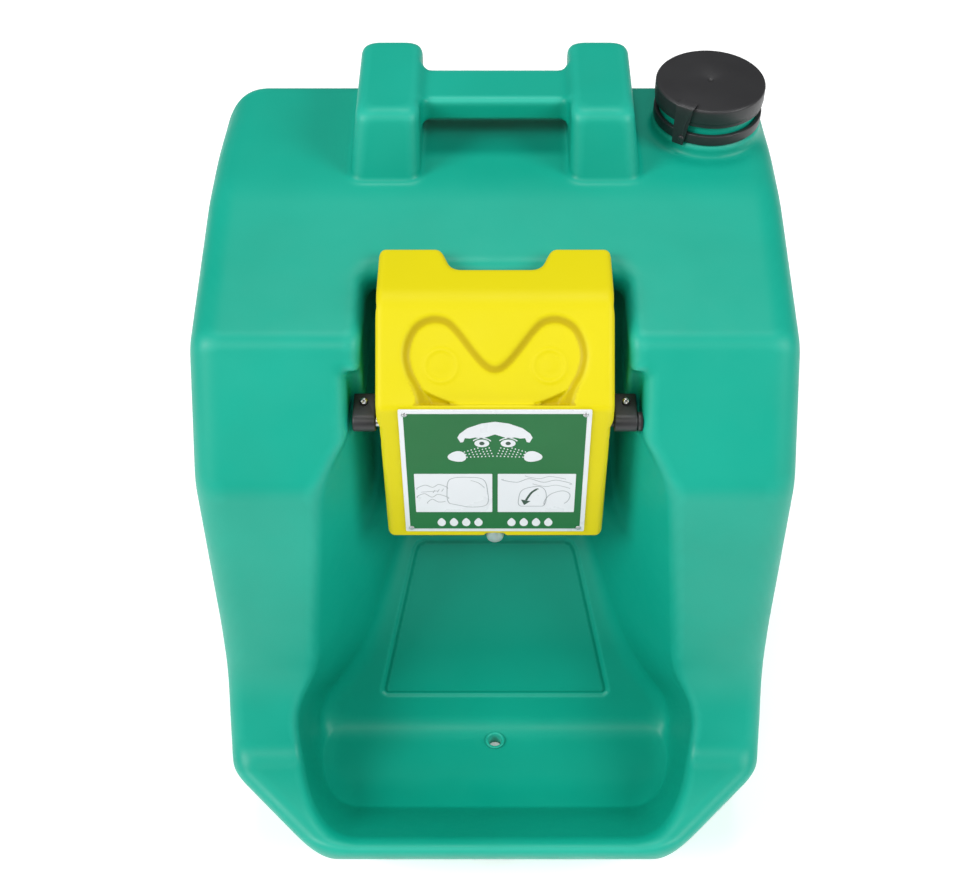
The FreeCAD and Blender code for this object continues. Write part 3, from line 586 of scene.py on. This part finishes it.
def arm(X, Y, Z):
    A = np.abs(X)
    d_sl = p2(pSl, Y, Z)
    # outer side profile: flange top, slope, sign face
    prof = smax(Z - 586.0, d_sl, 9.0)
    prof = smax(prof, -88.0 - Y, 3.5)
    prof = smax(prof, 346.5 - Z, 4.0)
    dk = (Y + 30.0) * nY + (Z - 478.0) * nZ
    # back of the wedge and of the sign part, underside of the flange
    wedge = dk + 3.2
    up = smax(wedge, -(Z - 474.0) + 0 * Y, 4.0)
    low = smax(Y + 58.0, Z - 480.0, 4.0)
    fl = smax(Y - 50.0, 575.0 - Z, 4.0)
    back = smin(smin(up, low, 6.0), fl, 3.0)
    prof = smax(prof, back, 4.0)
    # sides: the upper part is slightly wider, with rounded lower corners at the pivots
    wide = A - 103.7
    nar = A - 101.5
    zb = 497.0
    side = np.where(Z > zb + 8.0, wide, np.where(Z < zb, nar, nar + (wide - nar) * ((np.clip(Z, zb, zb + 8.0) - zb) / 8.0) ** 0.5))
    f = smax(prof, side, 7.0)
    # corners of the flange, seen from above
    cr = smax(Y - 50.0, A - 103.7, 10.0)
    f = np.maximum(f, cr)
    # grip notch
    nt = smax(24.2 - Y + 0 * X, np.abs(X - 1.0) - 39.0 - (Y - 24.2) * 0.36, 10.0)
    nt = np.maximum(nt, 540.0 - Z)
    f = smax(f, -nt, 7.0)
    # goggle-shaped recess with drafted walls; its floor ends in a convex curve above the lower slot
    rec, rr, g, s = recess(X, Y, Z, A, d_sl)
    f = smax(f, -rec, 2.2)
    # faint round marks of the head bosses on the recess floor
    f = f - 0.7 * np.exp(-((rr - 14.0) / 2.0) ** 2) * (g < -9) * (curve_of(A) - s > 1.5) - 0.35 * np.exp(-(rr / 6.0) ** 4) * (g < -9)
    # bumper notch, pivot bushes
    bn = smax(A - 10.5 + (Z - 346.5) * 0.5, Z - 351.0, 2.0)
    f = smax(f, -np.maximum(bn, Y + 61.5), 2.0)
    f = np.maximum(f, -np.maximum(np.sqrt((Y - pvY) ** 2 + (Z - pvZ) ** 2) - 7.5, 88.0 - A))
    return f


arm_obj = surface(arm, (-106.0, -94.0, 346.0), (106.0, 53.0, 589.0), 1.6, "arm_skin", [yellow])
co = np.empty(len(arm_obj.data.vertices) * 3, dtype=np.float32)
arm_obj.data.vertices.foreach_get("co", co)
co = co.reshape(-1, 3).astype(np.float64) * 1000.0
VX, VY, VZ = co[:, 0], co[:, 1], co[:, 2]
v_sl = p2(pSl, VY, VZ)
v_rec, v_rr, v_g, v_s = recess(VX, VY, VZ, np.abs(VX), v_sl)
v_over = v_s - curve_of(np.abs(VX))
front = (VZ > 500) & (v_sl > -16) & (v_g < 1.0) & (v_s < 93) & (VY < -14)
# painted shade mask: recess walls and the floor's slope down to the lower slot get the darker yellow
wall_shade = ramp01((-v_sl - 0.3) / 2.2) * ramp01((v_g + 8.2) / 2.0)
slope_shade = ramp01(v_over / 4.0) * 0.55 + 0.45 * ramp01((v_s - 86.0) / 4.0) * ramp01(v_over / 3.0)
recess_shade_mask = np.where(front, np.maximum(wall_shade, slope_shade), 0.0)
at = arm_obj.data.attributes.new("recess", "FLOAT", "POINT")
at.data.foreach_set("value", recess_shade_mask.astype(np.float32))
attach(arm_obj, "arm")
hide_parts("arm_shell")

# ------------------------------------------------------------------ turned parts


def lathe(name, profile, centre, mats, segs=128, z_axis=(0, 0, 1), wave=None):
    """Profile of (r, z) in mm revolved about centre + axis."""
    verts, faces = [], []
    q = Vector(z_axis).normalized().to_track_quat("Z", "Y").to_matrix()
    rings = []
    for r, z in profile:
        ring = []
        if r < 1e-6:
            ring = [len(verts)]
            verts.append((0, 0, z))
        else:
            for k in range(segs):
                a = 2 * math.pi * k / segs
                rr = r + (wave(a, z, r) if wave else 0.0)
                ring.append(len(verts))
                verts.append((rr * math.cos(a), rr * math.sin(a), z))
        rings.append(ring)
    for i in range(len(rings) - 1):
        a, b = rings[i], rings[i + 1]
        for k in range(segs):
            k2 = (k + 1) % segs
            if len(a) == 1 and len(b) == 1:
                continue
            if len(a) == 1:
                faces.append((a[0], b[k2], b[k]))
            elif len(b) == 1:
                faces.append((a[k], a[k2], b[0]))
            else:
                faces.append((a[k], a[k2], b[k2], b[k]))
    V3 = [q @ Vector(v) for v in verts]
    V3 = [((v.x + centre[0]) / 1000, (v.y + centre[1]) / 1000, (v.z + centre[2]) / 1000) for v in V3]
    ob = new_obj(name, V3, faces, mats)
    bm = bmesh.new()
    bm.from_mesh(ob.data)
    bmesh.ops.recalc_face_normals(bm, faces=bm.faces)
    bm.to_mesh(ob.data)
    bm.free()
    return ob


def arc(cx, cz, r, a0, a1, n=6):
    return [(cx + r * math.cos(math.radians(a0 + (a1 - a0) * i / n)), cz + r * math.sin(math.radians(a0 + (a1 - a0) * i / n))) for i in range(n + 1)]


cap_prof = ([(0, 639.0), (1.4, 639.0), (2.4, 639.5), (3.6, 640.0), (30, 639.9)] + [(46.5, 639.9)] + arc(49.6, 637.5, 2.4, 90, 0, 8) +
            [(52.0, 636.0), (52.0, 626.0)] + [(51.7, 625.4), (51.4, 625.0), (51.4, 622.6)] + arc(50.9, 621.5, 0.5, 0, -90, 3) +
            [(49.2, 621.0), (49.0, 621.3), (49.0, 636.6), (48.6, 637.0), (0, 637.0)])
cap = lathe("cap_turned", cap_prof, (NX, NY, 0), [black], 160)
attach(cap, "cap")
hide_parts("filler_cap")

ring_prof = [(47.6, 602.2)] + arc(50.4, 602.6, 1.2, -90, 0, 4) + arc(50.4, 610.8, 1.2, 0, 90, 4) + [(48.0, 612.0), (47.6, 611.4), (47.6, 602.2)]
ring = lathe("tether_ring", ring_prof, (NX, NY, 0), [black], 128)
# knuckle on the ring, one piece with it
ANG = math.radians(-122)
kn = lathe("ring_knuckle", [(0, 0), (2.0, 0), (2.0, 4.0)] + arc(1.4, 5.6, 1.6, -10, 90, 5) + [(0, 7.2)],
           (NX + 50.0 * math.cos(ANG), NY + 50.0 * math.sin(ANG), 607.6), [black], 32, (math.cos(ANG), math.sin(ANG), 0))
for o in (ring, kn):
    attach(o, "tether")
    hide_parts("cap_tether_ring")


def solid_from(name, build, mats, bevel=0.0006, segs=3):
    bm = bmesh.new()
    build(bm)
    me = bpy.data.meshes.new(name)
    bmesh.ops.recalc_face_normals(bm, faces=bm.faces)
    bm.to_mesh(me)
    bm.free()
    ob = bpy.data.objects.new(name, me)
    SC.collection.objects.link(ob)
    for m in mats:
        me.materials.append(m.m)
    if bevel:
        md = ob.modifiers.new("bevel", "BEVEL")
        md.width = bevel
        md.segments = segs
        md.limit_method = "ANGLE"
        md.angle_limit = math.radians(32)
        bpy.context.view_layer.objects.active = ob
        ob.select_set(True)
        bpy.ops.object.modifier_apply(modifier="bevel")
        ob.select_set(False)
    ob.data.polygons.foreach_set("use_smooth", [True] * len(ob.data.polygons))
    bpy.context.view_layer.objects.active = ob
    ob.select_set(True)
    bpy.ops.object.shade_smooth_by_angle(angle=math.radians(40))
    ob.select_set(False)
    return ob


def extrude_poly(bm, pts, vec, to_world):
    """Closed 2-D outline swept along vec (mm)."""
    a = [bm.verts.new(tuple(c / 1000 for c in to_world(p))) for p in pts]
    b = [bm.verts.new(tuple((c + v) / 1000 for c, v in zip(to_world(p), vec))) for p in pts]
    bm.faces.new(a)
    bm.faces.new(list(reversed(b)))
    n = len(pts)
    for i in range(n):
        j = (i + 1) % n
        bm.faces.new((a[j], a[i], b[i], b[j]))


# strap over the cap's rim, down to the ring's knuckle
ca, sa = math.cos(ANG), math.sin(ANG)


def strap_build(bm):
    # (radius, height, middle, half width) round the section, outer face first
    prof = [(43.4, 640.2, 1.0, 7.5), (43.6, 641.8, 1.0, 7.5), (44.4, 642.6, 1.0, 7.8), (50.0, 642.6, 0.8, 8.6), (53.6, 642.5, 0.6, 9.0),
            (55.0, 641.8, 0.2, 8.8), (55.5, 639.6, -0.3, 8.4), (55.5, 633.0, -1.4, 7.0), (55.5, 625.0, -2.8, 6.0), (55.5, 616.0, -3.6, 5.6),
            (55.5, 606.0, -3.6, 5.6), (55.2, 600.4, -3.6, 5.6), (54.6, 599.2, -3.6, 5.5), (53.6, 599.2, -3.6, 5.5), (52.9, 600.2, -3.6, 5.6),
            (52.9, 616.0, -3.6, 5.6), (52.9, 628.0, -2.4, 6.2), (52.9, 636.0, -1.0, 7.6), (52.9, 640.2, 0.0, 8.2)]
    cols = [-1.0, -0.5, 0.0, 0.5, 1.0]
    rows = []
    for r, z, mid, w in prof:
        rows.append([bm.verts.new(((NX + r * ca - (mid + s * w) * sa) / 1000, (NY + r * sa + (mid + s * w) * ca) / 1000, z / 1000)) for s in cols])
    n = len(rows)
    for i in range(n):
        j = (i + 1) % n
        for c in range(len(cols) - 1):
            bm.faces.new((rows[i][c], rows[j][c], rows[j][c + 1], rows[i][c + 1]))
    bm.faces.new([r[0] for r in rows])
    bm.faces.new([r[-1] for r in reversed(rows)])


strap = solid_from("tether_strap", strap_build, [black], 0.0007, 3)
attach(strap, "cap")
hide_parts("cap_tether_strap")

# ------------------------------------------------------------------ pivot brackets
R2 = math.sqrt(0.5)
SXB = 116.6


def bracket_axis(sg, t):
    return (sg * SXB, -54.5 + R2 * t, 497.0 - R2 * t)


def carve(ob, r, start, end):
    """Cuts a round hole out of a piece."""
    a, b = Vector(start), Vector(end)
    d = b - a
    bm = bmesh.new()
    bmesh.ops.create_cone(bm, cap_ends=True, segments=40, radius1=r / 1000, radius2=r / 1000, depth=d.length / 1000)
    me = bpy.data.meshes.new("cutter")
    bm.to_mesh(me)
    bm.free()
    c = bpy.data.objects.new("cutter", me)
    SC.collection.objects.link(c)
    c.matrix_world = Matrix.Translation((a + b) / 2000) @ d.to_track_quat("Z", "Y").to_matrix().to_4x4()
    md = ob.modifiers.new("hole", "BOOLEAN")
    md.operation = "DIFFERENCE"
    md.object = c
    md.solver = "EXACT"
    bpy.context.view_layer.update()
    bpy.context.view_layer.objects.active = ob
    bpy.ops.object.modifier_apply(modifier="hole")
    bpy.data.objects.remove(c, do_unlink=True)


for sgn, side in ((-1, "left"), (1, "right")):
    def bracket_build(bm, sgn=sgn):
        x0 = min(sgn * 105.2, sgn * 125.8)
        pts = [(-45.4, 481.1), (-45.4, 498.9)]
        for k in range(0, 17):
            a = math.radians(90 + k * 11.25)
            pts.append((pvY + 8.9 * math.cos(a), pvZ + 8.9 * math.sin(a)))
        extrude_poly(bm, [(y, z) for y, z in pts], (20.6, 0, 0), lambda p: (x0, p[0], p[1]))
    br = solid_from("bracket_" + side, bracket_build, [black], 0.0016, 4)
    carve(br, 4.2, bracket_axis(sgn, 0), bracket_axis(sgn, -20))
    carve(br, 5.02, (sgn * 100, pvY, pvZ), (sgn * 130, pvY, pvZ))
    bpy.ops.object.select_all(action="DESELECT")
    bpy.context.view_layer.objects.active = br
    br.select_set(True)
    bpy.ops.object.shade_smooth_by_angle(angle=math.radians(35))
    br.select_set(False)
    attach(br, "tank")
    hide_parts("pivot_bracket_" + side)


# ------------------------------------------------------------------ screws
def screw_mesh(name, at, direction, head_r, head_t, shank_r, length, mats):
    prof = [(0, -head_t * 0.55), (head_r * 0.22, -head_t * 0.55), (head_r * 0.3, -head_t * 0.98), (head_r * 0.55, -head_t * 0.95),
            (head_r * 0.86, -head_t * 0.62), (head_r, -head_t * 0.25), (head_r, 0), (shank_r, 0), (shank_r, length - shank_r), (0, length)]

    def star(a, z, r):
        return -0.28 * r * max(0.0, math.cos(4 * a)) if 0 < r < head_r * 0.4 and z < 0 else 0.0
    return lathe(name, prof, at, mats, 32, direction, star)


scr = [screw_mesh("bracket_screw_%d" % i, bracket_axis(s, 0), (0, R2, -R2), 3.8, 2.3, 2.15, 27.5, [steel]) for i, s in enumerate((-1, 1))]
for o in scr:
    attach(o, "tank")
    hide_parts("bracket_screws")

# ------------------------------------------------------------------ sign
P0Z, PW, PH = 356.5, 168.0, 166.0
FY = -88.0


def flat_shape(bm, pts, y0, y1):
    """Outline of (x, z) on the sign's face, from y0 (back) to y1 (front, more negative)."""
    a = [bm.verts.new((x / 1000, y1 / 1000, z / 1000)) for x, z in pts]
    b = [bm.verts.new((x / 1000, y0 / 1000, z / 1000)) for x, z in pts]
    bm.faces.new(a)
    n = len(pts)
    for i in range(n):
        j = (i + 1) % n
        bm.faces.new((a[i], b[i], b[j], a[j]))
    bm.faces.new(list(reversed(b)))


def rrect(cx, cz, w, h, r, n=6):
    pts = []
    for sx, sz, a0 in ((1, 1, 0), (-1, 1, 90), (-1, -1, 180), (1, -1, 270)):
        for k in range(n + 1):
            a = math.radians(a0 + 90 * k / n)
            pts.append((cx + sx * (w / 2 - r) + r * math.cos(a), cz + sz * (h / 2 - r) + r * math.sin(a)))
    return pts


def disc(cx, cz, rx, rz, n=24, rot=0.0):
    c, s = math.cos(rot), math.sin(rot)
    return [(cx + rx * math.cos(2 * math.pi * k / n) * c - rz * math.sin(2 * math.pi * k / n) * s,
             cz + rx * math.cos(2 * math.pi * k / n) * s + rz * math.sin(2 * math.pi * k / n) * c) for k in range(n)]


def stroke(pts, w):
    """Polyline as a thin closed ribbon outline."""
    P = np.array(pts, float)
    left, right = [], []
    for i in range(len(P)):
        if i == 0:
            t = P[1] - P[0]
        elif i == len(P) - 1:
            t = P[-1] - P[-2]
        else:
            t = (P[i + 1] - P[i]) / np.linalg.norm(P[i + 1] - P[i]) + (P[i] - P[i - 1]) / np.linalg.norm(P[i] - P[i - 1])
        t = t / max(np.linalg.norm(t), 1e-9)
        nrm = np.array([-t[1], t[0]])
        left.append(tuple(P[i] + nrm * w / 2))
        right.append(tuple(P[i] - nrm * w / 2))
    return left + right[::-1]


CX, CZ = 0.0, P0Z + PH / 2
layers = {"white": [], "green": [], "line": [], "dark": []}
layers["green"].append((rrect(CX, CZ, PW - 8.6, PH - 8.6, 1.2), -89.6, -89.72))
# emblem: a brow shape with two eyes, and two nozzles sending drops up to them
W0, W1 = -89.72, -89.84
half = [(33.0, 488.0), (31.0, 493.0), (24.0, 500.3), (12.0, 506.2), (0.0, 508.5)]
low = [(6.0, 489.5), (12.0, 486.6), (17.0, 488.5), (22.0, 487.0), (26.5, 487.5), (28.0, 482.4), (30.5, 481.8)]
brow = half + [(-x, z) for x, z in reversed(half[:-1])] + [(-x, z) for x, z in reversed(low)] + [(0.0, 492.4)] + low
layers["white"].append((brow, W0, W1))
for sg in (-1, 1):
    layers["white"].append((disc(sg * 11.6, 480.6, 6.6, 4.9, 30), W0, W1))
    layers["dark"].append((disc(sg * 11.6, 480.6, 2.3, 2.3, 20), W1, -89.9))
    lid = [(sg * 11.6 + 9.0 * math.cos(math.radians(a)), 480.2 + 7.2 * math.sin(math.radians(a))) for a in range(28, 153, 12)]
    layers["white"].append((stroke(lid, 1.1), W0, W1))
    noz = []
    for k in range(28):
        a = 2 * math.pi * k / 28
        rr_ = 1.0 + 0.07 * math.cos(3 * a + 0.6)
        noz.append((sg * (33.6 + 8.2 * rr_ * math.cos(a)), 463.0 + 7.0 * rr_ * math.sin(a)))
    layers["white"].append((noz, W0, W1))
    for r in range(8):
        t = r / 7.0
        n_d = 3 + (r + 1) // 3
        cx_, cz_ = 26.0 - 22.0 * t, 465.8 + 5.2 * t
        for k in range(n_d):
            u = (k - (n_d - 1) / 2) / max(1, n_d - 1)
            span = 7.0 + 7.5 * t
            x, z = sg * (cx_ + u * span * 0.30), cz_ + u * span
            if z < 475.4 or abs(abs(x) - 11.6) > 7.4:
                layers["white"].append((disc(x, z, 0.62, 0.8, 10), W0, W1))
# two instruction panels with plain line drawings
for cx in (-37.9, 37.9):
    layers["white"].append((rrect(cx, 412.5, 70.8, 54.0, 0.8), W0, W1))
LZ = 386.0


def line(pts, w=0.7, kind="line"):
    layers[kind].append((stroke(pts, w), W1, -89.9))


def curve(pts, n=6):
    return [tuple(p) for p in lerp_outline(pts, n)][:(len(pts) - 1) * n + 1]


# left panel: an open wash arm with a bowed outline leaning over it
lx = -37.9
line(curve([(lx - 4, LZ + 12), (lx - 6, LZ + 30), (lx - 3, LZ + 46), (lx + 12, LZ + 49), (lx + 27, LZ + 46), (lx + 31, LZ + 30), (lx + 30, LZ + 10),
            (lx + 12, LZ + 7)]) + [(lx - 4, LZ + 12)], 0.7)
line(curve([(lx - 33, LZ + 32), (lx - 26, LZ + 38), (lx - 19, LZ + 35), (lx - 13, LZ + 39), (lx - 6, LZ + 33)]), 0.7)
line(curve([(lx - 33, LZ + 20), (lx - 27, LZ + 26), (lx - 20, LZ + 21), (lx - 14, LZ + 25), (lx - 5, LZ + 19)]), 0.7)
line(curve([(lx - 24, LZ + 12), (lx - 20, LZ + 18), (lx - 14, LZ + 14), (lx - 8, LZ + 15)]), 0.7)
line(curve([(lx - 30, LZ + 28), (lx - 22, LZ + 29), (lx - 14, LZ + 30)]), 0.6)
for k in range(3):
    line([(lx - 19 + 4 * k, LZ + 27 + k), (lx - 17 + 4 * k, LZ + 31 + k)], 0.6)
line(curve([(lx + 16, LZ + 44), (lx + 23, LZ + 41), (lx + 28, LZ + 34)]), 0.6)
# right panel: the arm with a pull-down arrow
lx = 37.9
line(curve([(lx - 14, LZ + 8), (lx - 16, LZ + 20), (lx - 12, LZ + 32), (lx + 3, LZ + 36), (lx + 9, LZ + 26), (lx + 6, LZ + 8)]) + [(lx - 14, LZ + 8)], 0.7)
line(curve([(lx + 8, LZ + 10), (lx + 12, LZ + 24), (lx + 24, LZ + 30), (lx + 31, LZ + 24), (lx + 26, LZ + 12)]), 0.7)
line(curve([(lx - 30, LZ + 46), (lx - 18, LZ + 42), (lx - 7, LZ + 47), (lx + 6, LZ + 42), (lx + 18, LZ + 45), (lx + 30, LZ + 39)]), 0.7)
line(curve([(lx - 10, LZ + 51), (lx + 2, LZ + 47), (lx + 12, LZ + 50), (lx + 26, LZ + 46)]), 0.6)
line(curve([(lx - 3, LZ + 40), (lx + 8, LZ + 36), (lx + 18, LZ + 38), (lx + 30, LZ + 33)]), 0.6)
layers["dark"].append((stroke(curve([(lx + 1, LZ + 32), (lx - 4, LZ + 28), (lx - 7.5, LZ + 21), (lx - 9, LZ + 16)]), 2.2), W1, -89.9))
layers["dark"].append(([(lx - 14.0, LZ + 17.6), (lx - 5.2, LZ + 15.2), (lx - 11.0, LZ + 9.6)], W1, -89.91))
# a row of drops where the original's lettering was
for k, x in enumerate((-50.0, -38.5, -27.0, -15.5, 15.5, 27.0, 38.5, 50.0)):
    drop = []
    for q in range(24):
        a = 2 * math.pi * q / 24
        pinch = 1.0 - 0.42 * max(0.0, math.sin(a)) ** 2
        drop.append((x + 3.9 * pinch * math.cos(a), 370.2 + 5.6 * math.sin(a) * (1.0 + 0.12 * max(0.0, math.sin(a)))))
    layers["white"].append((drop, W0, W1))


def sign_build(bm):
    flat_shape(bm, rrect(CX, CZ, PW, PH, 1.5), -88.0, -89.6)


plate = solid_from("sign_board", sign_build, [sign_white], 0.0003, 2)
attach(plate, "arm")
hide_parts("sign_plate")
for key, mat in (("green", sign_green), ("white", sign_white), ("line", sign_line), ("dark", sign_dark)):
    bm = bmesh.new()
    for pts, y0, y1 in layers[key]:
        flat_shape(bm, pts, y0, y1)
    bmesh.ops.recalc_face_normals(bm, faces=bm.faces)
    me = bpy.data.meshes.new("sign_" + key)
    bm.to_mesh(me)
    bm.free()
    ob = bpy.data.objects.new("sign_" + key, me)
    SC.collection.objects.link(ob)
    me.materials.append(mat.m)
    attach(ob, "arm")
    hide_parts("sign_plate")
for i, (sx, z) in enumerate([(-1, P0Z + 5.5), (1, P0Z + 5.5), (-1, P0Z + PH - 5.5), (1, P0Z + PH - 5.5)]):
    o = screw_mesh("sign_screw_%d" % i, (sx * (PW / 2 - 5.5), -89.6, z), (0, 1, 0), 2.6, 1.2, 1.4, 5.0, [steel])
    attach(o, "arm")
    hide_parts("sign_screws")

# bumper: soft translucent dome-ended plug
bp = lathe("bumper_pad", [(0, -29.0), (2.6, -28.8), (5.2, -27.8), (7.2, -26.0), (8.3, -23.4), (8.5, -20.5), (8.5, -2.0), (7.6, -0.4), (6.0, 0.0), (0, 0.0)],
           (0, -62.0, 345.0), [silicone], 48, (0, 1, 0))
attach(bp, "arm")
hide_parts("stop_bumper")

# drain grommet with a rolled edge
gz = 50.0
gr = lathe("drain_ring", [(7.0, gz - 12.0), (8.9, gz - 12.0), (8.9, gz + 0.05), (10.2, gz + 0.05)] + arc(9.1, gz + 1.2, 1.15, -20, 100, 6) +
           [(8.4, gz + 2.3), (7.4, gz + 1.6), (7.0, gz + 0.4), (7.0, gz - 12.0)], (0, -134.0, 0), [green], 64)
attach(gr, "tank")
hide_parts("drain_grommet")

# ------------------------------------------------------------------ carried-over CAD nodes get their materials
CARRY = {"cap_gasket": rubber, "pivot_pin_left": steel, "outlet_trunnion": black, "outlet_gasket": rubber, "outlet_nut": steel,
         "arm_deck": yellow, "deck_screws": steel, "spray_head_left": black, "spray_head_right": black, "flow_disc_left": nylon,
         "flow_disc_right": nylon, "head_nuts": grey, "manifold_pipe": grey, "pivot_bush_left": black, "valve_sleeve": black,
         "supply_hose": hose_m, "hose_clamps": steel}
for node, mat in CARRY.items():
    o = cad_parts[node]
    if not o.material_slots:
        o.data.materials.append(mat.m)
    for s in o.material_slots:
        s.material = mat.m

# ------------------------------------------------------------------ studio
fl = new_obj("floor", [(-6, -6, 0), (6, -6, 0), (6, 6, 0), (-6, 6, 0)], [(0, 1, 2, 3)], [], smooth=False)
fm = Mat("floor_paint")
fm.to(fm.ramp(fm.noise(3.0, 2.0), [(0.3, (0.93, 0.93, 0.93)), (0.7, (0.95, 0.95, 0.95))]), "Base Color")
fm.set(Roughness=0.9)
fm.b.inputs["Emission Color"].default_value = (1, 1, 1, 1)
fm.b.inputs["Emission Strength"].default_value = 0.33
fl.data.materials.append(fm.m)

w = bpy.data.worlds.new("studio")
SC.world = w
w.use_nodes = True
w.node_tree.nodes["Background"].inputs["Color"].default_value = (1, 1, 1, 1)
w.node_tree.nodes["Background"].inputs["Strength"].default_value = 0.19


def area(name, loc, target, size, power, color=(1, 1, 1)):
    ld = bpy.data.lights.new(name, "AREA")
    ld.shape = "RECTANGLE"
    ld.size, ld.size_y = size
    ld.energy = power
    ld.color = color
    ob = bpy.data.objects.new(name, ld)
    ob.location = loc
    d = Vector(target) - Vector(loc)
    ob.rotation_euler = d.to_track_quat("-Z", "Y").to_euler()
    SC.collection.objects.link(ob)
    return ob


area("key", (-3.3, -1.7, 3.1), (0, 0, 0.3), (1.9, 1.9), 140.0)
area("fill", (3.3, -1.7, 3.1), (0, 0, 0.3), (1.9, 1.9), 106.0)
area("front", (-0.4, -3.2, 4.8), (0, 0, 0.3), (1.6, 1.2), 50.0)
area("top", (0.0, 1.3, 5.2), (0, 0.0, 0.4), (2.4, 1.2), 78.0)
SC.view_settings.view_transform = "Standard"
SC.view_settings.look = "None"
